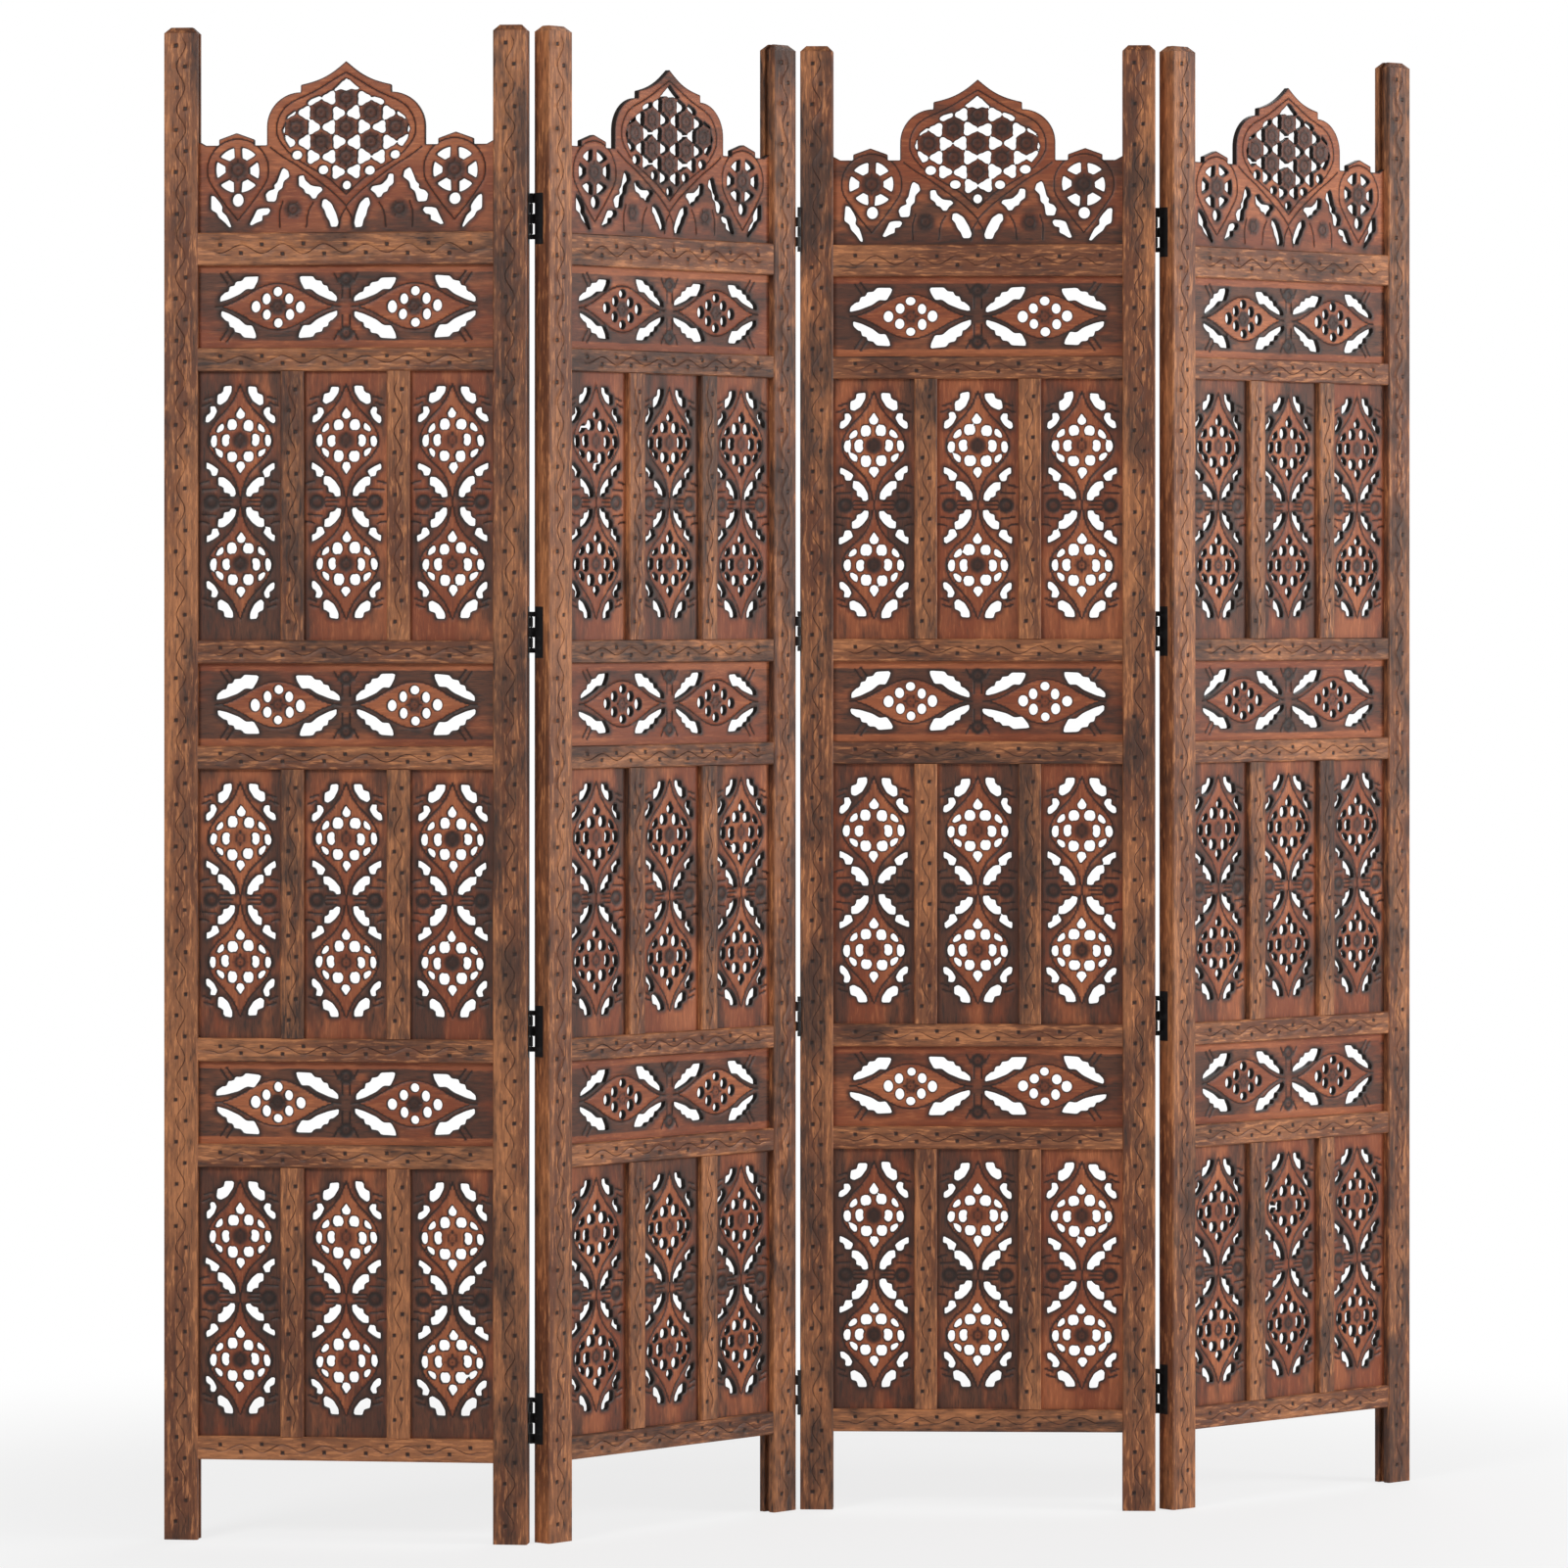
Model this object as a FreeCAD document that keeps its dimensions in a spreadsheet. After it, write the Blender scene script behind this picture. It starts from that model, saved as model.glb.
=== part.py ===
import FreeCAD, Part
import math
import os
import re
import Sketcher

# Carved folding screen of four equal panels, hinged edge to edge in a zigzag.
# Each panel is a grooved frame of two posts, seven rails and six mullions that holds pierced
# boards: three tiers of tall boards, a frieze board over each tier and a crest board on top.
# Millimetres. The frame of the part has +Z up, -Y to the front and its origin on the floor,
# under the middle of the whole screen's box. A panel's own frame has its origin on the floor
# at its left edge, half-way through its depth, with X along the panel and Y to its back.

mm = 1.0
degree = 1.0
near_enough = 0.01 * mm

SIZES = {
    # Panel
    "panel_width": 400 * mm,
    "tier_count": 3,
    "bay_count": 3,
    # Posts
    "post_rise_over_crest": 38 * mm,
    "post_width": 37 * mm,
    "post_depth": 23 * mm,
    "post_crown_chamfer": 6.5 * mm,
    "post_arris": 1.5 * mm,
    "leg_height": 88 * mm,
    # Rails and mullions
    "rail_height": 25.5 * mm,
    "top_rail_height": 35.5 * mm,
    "rail_depth": 20.5 * mm,
    "mullion_width": 25.5 * mm,
    "mullion_depth": 20.5 * mm,
    # Grooves in posts and mullions that hold the boards and the rails' tenons
    "groove_depth": 5 * mm,
    "groove_side_gap": 0.1 * mm,
    "groove_end_gap": 0.3 * mm,
    # Pierced boards
    "board_thickness": 7 * mm,
    "board_top_gap": 0.3 * mm,
    "tall_opening_height": 293 * mm,
    "frieze_opening_height": 90 * mm,
    # Crest board, measured up from the top rail and out from the panel's middle line
    "crest_shoulder_height": 95.5 * mm,
    "crest_end_rise": 4.5 * mm,
    "crest_end_width": 8 * mm,
    "crest_gable_offset": 121 * mm,
    "crest_gable_half_width": 19.5 * mm,
    "crest_gable_step": 6.5 * mm,
    "crest_gable_rise": 7 * mm,
    "crest_lobe_half_width": 87.5 * mm,
    "crest_lobe_foot": 20 * mm,
    "crest_lobe_radius": 37.5 * mm,
    "crest_ogee_step": 8 * mm,
    "crest_ogee_sag": 4 * mm,
    "crest_peak_height": 186.5 * mm,
    # Butt hinges
    "hinge_height": 56 * mm,
    "hinge_row_count": 5,
    "hinge_row_gap": 0.4 * mm,
    "hinge_panel_gap": 2 * mm,
    "hinge_axis_offset": 3.2 * mm,
    "hinge_rise_at_foot": 21.5 * mm,
    "hinge_rise_at_tier": 8.5 * mm,
    "hinge_rise_at_crest": 14.5 * mm,
    "leaf_width": 14 * mm,
    "leaf_thickness": 1 * mm,
    "leaf_notch": 1.5 * mm,
    "mortise_gap": 0.1 * mm,
    "pin_clearance": 0.05 * mm,
    # How far a cutting profile runs past the wood that it cuts
    "overrun": 5 * mm,
    # How the screen stands: the turn of the first panel, then each fold to the next
    "first_panel_turn": -6.7 * degree,
    "fold_one": 54.4 * degree,
    "fold_two": -49.8 * degree,
    "fold_three": 45.5 * degree,
}

FOLDS = ("fold_one", "fold_two", "fold_three")
# The barrels of the first and last fold lie behind the panels, those of the middle one in front
BARREL_SIDES = ("back", "front", "back")
PANELS = tuple(range(1, len(FOLDS) + 2))
TIERS = tuple(range(1, SIZES["tier_count"] + 1))
# Rows of a hinge, from the lowest: the right-hand leaf has the outer ones and the middle one
RIGHT_LEAF_ROWS = tuple(range(0, SIZES["hinge_row_count"], 2))
LEFT_LEAF_ROWS = tuple(range(1, SIZES["hinge_row_count"], 2))
# Barrels and pins are drawn with this many flats
BARREL_FLATS = 6

# Corners of the pierced leaves, from tip to tip round the belly and back on the hollow side.
# Beside a tall board's medallion one slot holds a pair of leaves, the tip of one at the foot of
# the other, as shares of half the medallion's width and height
TALL_FIELD_WIDTH_SHARE = 0.81
TALL_FIELD_HEIGHT_SHARE = 0.93
TALL_MEDALLIONS = 2
TALL_LEAF_SHARES = ((0.13, 0.85), (0.78, 0.62), (0.98, 0.20))
# Beside a frieze board's motif, as shares of half the motif's width and height
FRIEZE_FIELD_WIDTH_SHARE = 0.92
FRIEZE_FIELD_HEIGHT_SHARE = 0.78
FRIEZE_MOTIFS = 2
FRIEZE_SLOT_SHARES = ((0.92, 0.18), (0.30, 0.98), (0.40, 0.62))
# Under the crest's lobes, as shares of half the opening's width and of the shoulder's height
CREST_SLOT_SHARES = (
    ((0.94, 0.46), (0.77, 0.07), (0.86, 0.16)),
    ((0.66, 0.11), (0.62, 0.26), (0.52, 0.32)),
    ((0.56, 0.36), (0.44, 0.76), (0.41, 0.60)),
    ((0.34, 0.68), (0.16, 0.51), (0.22, 0.42)),
    ((0.19, 0.40), (0.04, 0.09), (0.13, 0.16)),
)

# Sizes that follow from the driving ones, written in the sheet's aliases
BAY_WIDTH = "((panel_width - 2 * post_width - (bay_count - 1) * mullion_width) / bay_count)"
BAY_PITCH = "(%s + mullion_width)" % BAY_WIDTH
TIER_PITCH = "(tall_opening_height + frieze_opening_height + 2 * rail_height)"
TALL_FOOT = "(leg_height + rail_height)"
UPPER_RAIL_FOOT = "(leg_height + rail_height + tall_opening_height)"
FRIEZE_FOOT = "(%s + rail_height)" % UPPER_RAIL_FOOT
TOP_RAIL_FOOT = "(leg_height + tier_count * %s)" % TIER_PITCH
CREST_FOOT = "(%s + top_rail_height)" % TOP_RAIL_FOOT
POST_TOP = "(%s + crest_peak_height + post_rise_over_crest)" % CREST_FOOT
GROOVE_WIDTH = "(board_thickness + 2 * groove_side_gap)"
TONGUE = "(groove_depth - groove_end_gap)"
OPENING_LEFT = "post_width"
OPENING_RIGHT = "(panel_width - post_width)"
BARREL_RADIUS = "(hinge_panel_gap / 2 + leaf_thickness)"
BORE_RADIUS = "(hinge_panel_gap / 2 / cos(180deg / %d))" % BARREL_FLATS
PIN_RADIUS = "(hinge_panel_gap / 2 - pin_clearance)"
AXIS_OUT = "(post_depth / 2 + hinge_axis_offset)"
# Middles of the hinges: over the lowest rail, over each further tier's rail and over the top rail
HINGE_LEVELS = tuple(
    ["(%s + hinge_rise_at_foot)" % TALL_FOOT]
    + ["(%s + %d * %s + hinge_rise_at_tier)" % (TALL_FOOT, tier - 1, TIER_PITCH)
       for tier in TIERS[1:]]
    + ["(%s + hinge_rise_at_crest)" % CREST_FOOT])

doc = FreeCAD.newDocument("jali_screen")
sheet = doc.addObject("Spreadsheet::Sheet", "Sizes")
for row, (alias, amount) in enumerate(SIZES.items(), start=1):
    sheet.set("A%d" % row, alias)
    sheet.set("B%d" % row, str(amount))
    sheet.setAlias("B%d" % row, alias)
doc.recompute()
sub_parts = []


def cells(expression):
    """The same expression with each alias pointing to the sheet."""
    return re.sub(r"[a-z]\w*", lambda word: "Sizes." + word.group()
                  if word.group() in SIZES else word.group(), expression)


def amount_of(expression):
    """What an expression in the sheet's aliases comes to."""
    return float(sheet.evalExpression(expression))


def outwards(side, distance):
    """A distance from mid-depth towards the back, which is the panel's plus side, or the front."""
    return "(%s(%s))" % ("-" if side == "front" else "", distance)


def add_panel_frames():
    """One placement for each panel, chained from hinge axis to hinge axis by expressions."""
    place = "placement(vector(%s * 1mm; %s * 1mm; 0mm); rotation(vector(0; 0; 1); %s * 1deg))"
    for panel in PANELS:
        frame = doc.addObject("App::Placement", "Panel_%d" % panel)
        chain = place % ("0", "0", "first_panel_turn")
        if panel > 1:
            out = outwards(BARREL_SIDES[panel - 2], AXIS_OUT)
            to_axis = place % ("(panel_width + hinge_panel_gap / 2)", out, FOLDS[panel - 2])
            from_axis = place % ("hinge_panel_gap / 2", "-" + out, "0")
            chain = "Panel_%d.Placement * %s * %s" % (panel - 1, to_axis, from_axis)
        frame.setExpression("Placement", cells(chain))
    doc.recompute()


def add_body(name, panel):
    """A body in a panel's frame. Its label names its file."""
    body = doc.addObject("PartDesign::Body", name)
    body.Label = name
    body.setExpression("Placement", "Panel_%d.Placement" % panel)
    sub_parts.append(body)
    return body


def origin_feature(body, role):
    """One of the body's own origin planes or axes."""
    return [feature for feature in body.Origin.OriginFeatures if feature.Role == role][0]


def add_sketch(body, name, plane, out="0"):
    """A sketch on one of the body's own planes, moved out along the plane's normal."""
    sketch = body.newObject("Sketcher::SketchObject", body.Name + "_" + name)
    sketch.AttachmentSupport = (origin_feature(body, plane), [""])
    sketch.MapMode = "FlatFace"
    sketch.setExpression(".AttachmentOffset.Base.z", cells(out))
    return sketch


def hold_point(sketch, line, axis, expression):
    """Holds a line's start at an expression along one axis, measured from the origin."""
    distance = amount_of(expression)
    if abs(distance) < near_enough:
        sketch.addConstraint(Sketcher.Constraint("PointOnObject", line, 1,
                                                 -2 if axis == "X" else -1))
        return
    ends = (-1, 1, line, 1) if distance > 0 else (line, 1, -1, 1)
    index = sketch.addConstraint(Sketcher.Constraint("Distance" + axis, *ends, abs(distance)))
    sign = "" if distance > 0 else "-"
    sketch.setExpression("Constraints[%d]" % index, cells("%s(%s)" % (sign, expression)))


def add_rectangle(sketch, left, bottom, right, top):
    """A rectangle whose four sides are bound to expressions."""
    x0, y0, x1, y1 = (amount_of(side) for side in (left, bottom, right, top))
    first = add_outline(sketch, straight_lines(((x0, y0), (x1, y0), (x1, y1), (x0, y1))))
    for step, direction in enumerate(("Horizontal", "Vertical", "Horizontal", "Vertical")):
        sketch.addConstraint(Sketcher.Constraint(direction, first + step))
    hold_point(sketch, first, "X", left)
    hold_point(sketch, first, "Y", bottom)
    hold_point(sketch, first + 2, "X", right)
    hold_point(sketch, first + 2, "Y", top)


def straight_lines(points):
    """Lines through points and back to the first."""
    corners = [FreeCAD.Vector(x, y, 0) for x, y in points]
    return [Part.LineSegment(corner, corners[(step + 1) % len(corners)])
            for step, corner in enumerate(corners)]


def add_outline(sketch, edges):
    """Edges joined end to end into a closed outline. Returns the first one's number."""
    first = sketch.addGeometry(edges, False)[0]
    sketch.addConstraint([
        Sketcher.Constraint("Coincident", first + step, 2, first + (step + 1) % len(edges), 1)
        for step in range(len(edges))])
    return first


def add_pad(body, sketch, name, length, side="Symmetric", reverse=False):
    """Material on a sketch."""
    pad = body.newObject("PartDesign::Pad", body.Name + "_" + name)
    pad.Profile = sketch
    pad.SideType = side
    pad.Reversed = reverse
    pad.setExpression("Length", cells(length))
    return pad


def add_pocket(body, sketch, name, length, side="Symmetric", reverse=False):
    """A cut on a sketch."""
    pocket = body.newObject("PartDesign::Pocket", body.Name + "_" + name)
    pocket.Profile = sketch
    pocket.SideType = side
    pocket.Reversed = reverse
    pocket.setExpression("Length", cells(length))
    return pocket


def add_row(body, originals, name, axis, length, count):
    """Copies of features in an even row along one of the body's own axes."""
    copies = body.newObject("PartDesign::LinearPattern", body.Name + "_" + name)
    copies.Originals = originals
    copies.Direction = (origin_feature(body, axis), [""])
    copies.setExpression("Length", cells(length))
    copies.setExpression("Occurrences", cells(count))
    body.Tip = copies
    return copies


def add_grid(body, originals, name, across, up):
    """Copies of features in even columns and rows. Each is a length and a count."""
    copies = add_row(body, originals, name, "X_Axis", *across)
    copies.Direction2 = (origin_feature(body, "Z_Axis"), [""])
    copies.setExpression("Length2", cells(up[0]))
    copies.setExpression("Occurrences2", cells(up[1]))
    return copies


def add_chamfer(body, base, name, distance, test):
    """A chamfer on those edges of a feature whose two ends pass a test."""
    doc.recompute()
    chamfer = body.newObject("PartDesign::Chamfer", body.Name + "_" + name)
    chamfer.Base = (base, ["Edge%d" % index for index, edge in enumerate(base.Shape.Edges, 1)
                           if test(*(vertex.Point for vertex in edge.Vertexes))])
    chamfer.setExpression("Size", cells(distance))
    return chamfer


def add_post(panel, hand, barrel_side):
    """A post with a chamfered crown, a groove down its inner face and mortises for hinges."""
    body = add_body("panel_%d_post_%s" % (panel, hand), panel)
    left = hand == "left"
    outer = "0" if left else "panel_width"
    inner = OPENING_LEFT if left else OPENING_RIGHT
    section = add_sketch(body, "section", "XY_Plane")
    add_rectangle(section, outer, "-post_depth / 2", inner, "post_depth / 2")
    stock = add_pad(body, section, "stock", POST_TOP, "One side")
    top = amount_of(POST_TOP)
    crown = add_chamfer(body, stock, "crown", "post_crown_chamfer",
                        lambda a, b: min(a.z, b.z) > top - near_enough)
    add_chamfer(body, crown, "arris", "post_arris", lambda a, b: abs(a.z - b.z) > top / 2)
    groove = add_sketch(body, "groove_outline", "XZ_Plane")
    edges = (inner + " - groove_depth", inner + " + overrun")
    if not left:
        edges = (inner + " - overrun", inner + " + groove_depth")
    add_rectangle(groove, edges[0], "-overrun", edges[1], POST_TOP + " + overrun")
    add_pocket(body, groove, "groove", GROOVE_WIDTH)
    if barrel_side:
        mortises = add_sketch(body, "mortise_outlines", "YZ_Plane", out=outer)
        reach = "(hinge_height / 2 + mortise_gap)"
        for level in HINGE_LEVELS:
            add_rectangle(mortises,
                          outwards(barrel_side, "post_depth / 2 - leaf_width - mortise_gap"),
                          "%s - %s" % (level, reach),
                          outwards(barrel_side, "post_depth / 2 + overrun"),
                          "%s + %s" % (level, reach))
        add_pocket(body, mortises, "mortises", "leaf_thickness", "One side", reverse=left)


def add_rails(panel):
    """Six narrow rails in pairs round the tall boards, tenoned into the posts' grooves."""
    body = add_body("panel_%d_rails" % panel, panel)
    features = add_tenoned_bars(body, ("leg_height", UPPER_RAIL_FOOT), "rail_height")
    add_row(body, features, "tiers", "Z_Axis",
            "(tier_count - 1) * %s" % TIER_PITCH, "tier_count")


def add_top_rail(panel):
    """The wide rail between the last frieze board and the crest board."""
    body = add_body("panel_%d_top_rail" % panel, panel)
    add_tenoned_bars(body, (TOP_RAIL_FOOT,), "top_rail_height")


def add_tenoned_bars(body, feet, height):
    """Bars across the opening at the given heights, with a tenon as thick as a board."""
    bars = add_sketch(body, "bar_outlines", "XZ_Plane")
    tenons = add_sketch(body, "tenon_outlines", "XZ_Plane")
    for foot in feet:
        top = "%s + %s" % (foot, height)
        add_rectangle(bars, OPENING_LEFT, foot, OPENING_RIGHT, top)
        add_rectangle(tenons, "%s - %s" % (OPENING_LEFT, TONGUE), foot,
                      "%s + %s" % (OPENING_RIGHT, TONGUE), top)
    return [add_pad(body, bars, "bars", "rail_depth"),
            add_pad(body, tenons, "tenons", "board_thickness")]


def add_mullions(panel):
    """Uprights between the tall boards, grooved on both sides, that stand between two rails."""
    body = add_body("panel_%d_mullions" % panel, panel)
    left = "(%s + %s)" % (OPENING_LEFT, BAY_WIDTH)
    right = "(%s + mullion_width)" % left
    bar = add_sketch(body, "bar_outline", "XZ_Plane")
    add_rectangle(bar, left, TALL_FOOT, right, UPPER_RAIL_FOOT)
    bar_pad = add_pad(body, bar, "bar", "mullion_depth")
    grooves = add_sketch(body, "groove_outlines", "XZ_Plane")
    for edges in ((left + " - overrun", left + " + groove_depth"),
                  (right + " - groove_depth", right + " + overrun")):
        add_rectangle(grooves, edges[0], TALL_FOOT + " - overrun",
                      edges[1], UPPER_RAIL_FOOT + " + overrun")
    groove = add_pocket(body, grooves, "grooves", GROOVE_WIDTH)
    add_grid(body, [bar_pad, groove], "bays_and_tiers",
             ("(bay_count - 2) * %s" % BAY_PITCH, "bay_count - 1"),
             ("(tier_count - 1) * %s" % TIER_PITCH, "tier_count"))


def add_board_outline(sketch, left, bottom, right, top):
    """A board's rectangle: it stands on the rail below and its sides enter the grooves."""
    add_rectangle(sketch, "%s - %s" % (left, TONGUE), bottom,
                  "%s + %s" % (right, TONGUE), "%s - board_top_gap" % top)


def add_slots(sketch, centre, half_width, half_height, shares):
    """One leaf-shaped slot, mirrored into the four quarters round a motif's centre."""
    for across in (-1, 1):
        for up in (-1, 1):
            add_outline(sketch, straight_lines([
                (centre[0] + across * x_share * half_width, centre[1] + up * z_share * half_height)
                for x_share, z_share in shares]))


def add_tall_boards(panel, tier):
    """The tall boards of one tier, each with two medallions one over the other."""
    body = add_body("panel_%d_tall_boards_%d" % (panel, tier), panel)
    rise = "(%d * %s)" % (tier - 1, TIER_PITCH)
    bottom, top = "(%s + %s)" % (TALL_FOOT, rise), "(%s + %s)" % (UPPER_RAIL_FOOT, rise)
    right = "(%s + %s)" % (OPENING_LEFT, BAY_WIDTH)
    face = add_sketch(body, "face", "XZ_Plane")
    add_board_outline(face, OPENING_LEFT, bottom, right, top)
    centre = (amount_of("(%s + %s) / 2" % (OPENING_LEFT, right)),
              amount_of("(%s + %s) / 2" % (bottom, top)))
    half_width = TALL_FIELD_WIDTH_SHARE * amount_of(BAY_WIDTH) / 2
    half_height = TALL_FIELD_HEIGHT_SHARE * amount_of("tall_opening_height") / 2 / TALL_MEDALLIONS
    for index in range(TALL_MEDALLIONS):
        height = centre[1] + (2 * index + 1 - TALL_MEDALLIONS) * half_height
        add_slots(face, (centre[0], height), half_width, half_height, TALL_LEAF_SHARES)
    board = add_pad(body, face, "board", "board_thickness")
    add_row(body, [board], "bays", "X_Axis", "(bay_count - 1) * %s" % BAY_PITCH, "bay_count")


def add_frieze_boards(panel):
    """The long low boards over the tiers, each with two motifs side by side."""
    body = add_body("panel_%d_frieze_boards" % panel, panel)
    top = "(%s + frieze_opening_height)" % FRIEZE_FOOT
    face = add_sketch(body, "face", "XZ_Plane")
    add_board_outline(face, OPENING_LEFT, FRIEZE_FOOT, OPENING_RIGHT, top)
    middle = amount_of("panel_width / 2")
    height = amount_of("(%s + %s) / 2" % (FRIEZE_FOOT, top))
    opening = amount_of("%s - %s" % (OPENING_RIGHT, OPENING_LEFT))
    half_width = FRIEZE_FIELD_WIDTH_SHARE * opening / 2 / FRIEZE_MOTIFS
    half_height = FRIEZE_FIELD_HEIGHT_SHARE * amount_of("frieze_opening_height") / 2
    for index in range(FRIEZE_MOTIFS):
        across = middle + (2 * index + 1 - FRIEZE_MOTIFS) * half_width
        add_slots(face, (across, height), half_width, half_height, FRIEZE_SLOT_SHARES)
    board = add_pad(body, face, "board", "board_thickness")
    add_row(body, [board], "tiers", "Z_Axis",
            "(tier_count - 1) * %s" % TIER_PITCH, "tier_count")


def crest_half():
    """Corners of the crest's left half, from its foot in the groove up to the peak: distance out
    from the middle line and height over the top rail. The lobe's arc and the ogee's sag are left to the caller."""
    half = amount_of("panel_width / 2 - post_width")
    tongue = amount_of(TONGUE)
    size = {alias: amount_of(alias) for alias in SIZES if alias.startswith("crest_")}
    shoulder = size["crest_shoulder_height"]
    gable, gable_half = size["crest_gable_offset"], size["crest_gable_half_width"]
    eaves = shoulder + size["crest_gable_step"]
    lobe, radius = size["crest_lobe_half_width"], size["crest_lobe_radius"]
    springing = shoulder + size["crest_lobe_foot"]
    crown = springing + radius
    return [
        (half + tongue, 0),
        (half + tongue, shoulder + size["crest_end_rise"]),
        (half, shoulder + size["crest_end_rise"]),
        (half - size["crest_end_width"], shoulder),
        (gable + gable_half, shoulder),
        (gable + gable_half, eaves),
        (gable, eaves + size["crest_gable_rise"]),
        (gable - gable_half, eaves),
        (gable - gable_half, shoulder),
        (lobe, shoulder),
        (lobe, springing),
        (lobe - radius, crown),
        (lobe - radius, crown + size["crest_ogee_step"]),
        (0, size["crest_peak_height"]),
    ]


def add_crest_board(panel):
    """The crest board: gables at the ends, a round lobe either side and an ogee peak."""
    body = add_body("panel_%d_crest_board" % panel, panel)
    face = add_sketch(body, "face", "XZ_Plane")
    middle, foot = amount_of("panel_width / 2"), amount_of(CREST_FOOT)
    radius, sag = amount_of("crest_lobe_radius"), amount_of("crest_ogee_sag")
    half = crest_half()
    springing, crown, step, peak = half[-4:]
    lobe_centre = (crown[0], springing[1])
    lobe_middle = tuple(centre + radius / 2 ** 0.5 for centre in lobe_centre)
    run, rise = peak[0] - step[0], peak[1] - step[1]
    length = (run ** 2 + rise ** 2) ** 0.5
    ogee_middle = ((step[0] + peak[0]) / 2 - sag * rise / length,
                   (step[1] + peak[1]) / 2 + sag * run / length)

    def at(point, hand):
        return FreeCAD.Vector(middle + hand * point[0], foot + point[1], 0)

    def side(hand):
        edges = [Part.LineSegment(at(a, hand), at(b, hand)) for a, b in zip(half[:-4], half[1:-3])]
        edges.append(Part.Arc(at(springing, hand), at(lobe_middle, hand), at(crown, hand)))
        ogee = (crown, step, ogee_middle, peak)
        edges += [Part.LineSegment(at(a, hand), at(b, hand)) for a, b in zip(ogee[:-1], ogee[1:])]
        return edges

    for edges in (side(-1), side(1)):
        face.addGeometry(edges, False)
    face.addGeometry(Part.LineSegment(at(half[0], 1), at(half[0], -1)), False)
    opening = amount_of("%s - %s" % (OPENING_RIGHT, OPENING_LEFT))
    shoulder = amount_of("crest_shoulder_height")
    for hand in (-1, 1):
        for shares in CREST_SLOT_SHARES:
            add_outline(face, straight_lines([
                (middle + hand * x_share * opening / 2, foot + z_share * shoulder)
                for x_share, z_share in shares]))
    add_pad(body, face, "board", "board_thickness")


def knuckle_spans(level, rows):
    """Bottom and top of a hinge's knuckles in the given rows, counted from the lowest."""
    row = "hinge_height / hinge_row_count"
    return [("(%s - hinge_height / 2 + %d * %s + hinge_row_gap / 2)" % (level, index, row),
             "(%s - hinge_height / 2 + %d * %s - hinge_row_gap / 2)" % (level, index + 1, row))
            for index in rows]


def flats(centre, radius):
    """Corners of a regular polygon round a centre, the first one straight out along X."""
    turns = [2 * math.pi * index / BARREL_FLATS for index in range(BARREL_FLATS)]
    return [(centre[0] + radius * math.cos(turn), centre[1] + radius * math.sin(turn))
            for turn in turns]


def add_upright(body, name, outlines, spans):
    """Upright bars with the given outlines, left standing only in the given spans of height."""
    low, high = spans[0][0], spans[-1][1]
    sections = add_sketch(body, name + "_section", "XY_Plane", out=low)
    for corners in outlines:
        add_outline(sections, straight_lines(corners))
    add_pad(body, sections, name, "%s - %s" % (high, low), "One side")
    waste = add_sketch(body, name + "_waste", "YZ_Plane")
    for below, above in zip(spans[:-1], spans[1:]):
        add_rectangle(waste, "-post_depth", below[1], "post_depth", above[0])
    add_pocket(body, waste, name + "_gaps", "2 * (panel_width + overrun)")


def add_leaves(fold, panel, hand, side, rows):
    """The four leaves on one post of a fold: plates, and tabs that curl round the pin's axis.

    The right-hand leaves carry the pins, fixed in their knuckles; the left-hand ones are bored.
    """
    body = add_body("fold_%d_%s_leaves" % (fold, hand), panel)
    on_left_edge = hand == "right"
    inward = 1 if on_left_edge else -1
    edge = "0" if on_left_edge else "panel_width"
    backward = -1 if side == "front" else 1
    thickness, root = amount_of("leaf_thickness"), amount_of("(post_depth - leaf_width) / 2")

    def placed(corners):
        return [(amount_of(edge) + inward * across, backward * out) for across, out in corners]

    axis = (-amount_of("hinge_panel_gap / 2"), amount_of(AXIS_OUT))
    curl = placed([(0, root), (thickness, root)] + flats(axis, amount_of(BARREL_RADIUS)))
    bore = placed(flats(axis, amount_of(BORE_RADIUS)))
    spans = [span for level in HINGE_LEVELS for span in knuckle_spans(level, rows)]
    add_upright(body, "knuckles", [curl] if on_left_edge else [curl, bore], spans)
    if on_left_edge:
        reach = "(hinge_height / 2 - hinge_height / hinge_row_count / 2)"
        add_upright(body, "pins", [placed(flats(axis, amount_of(PIN_RADIUS)))],
                    [("(%s - %s)" % (level, reach), "(%s + %s)" % (level, reach))
                     for level in HINGE_LEVELS])
    plates = add_sketch(body, "plate_outlines", "YZ_Plane", out=edge)
    for level in HINGE_LEVELS:
        add_rectangle(plates, outwards(side, "post_depth / 2 - leaf_width"),
                      level + " - hinge_height / 2",
                      outwards(side, "post_depth / 2 - leaf_notch"), level + " + hinge_height / 2")
    add_pad(body, plates, "plates", "leaf_thickness", "One side", reverse=not on_left_edge)


def centre_screen():
    """Moves the first panel, and so all four, until the posts' box stands over the origin."""
    doc.recompute()
    box = FreeCAD.BoundBox()
    for body in sub_parts:
        box.add(body.Shape.BoundBox)
    frame = doc.getObject("Panel_1")
    frame.setExpression("Placement", cells(
        "placement(vector(%r * 1mm; %r * 1mm; 0mm); rotation(vector(0; 0; 1); "
        "first_panel_turn * 1deg))" % (-box.Center.x, -box.Center.y)))
    doc.recompute()


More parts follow.
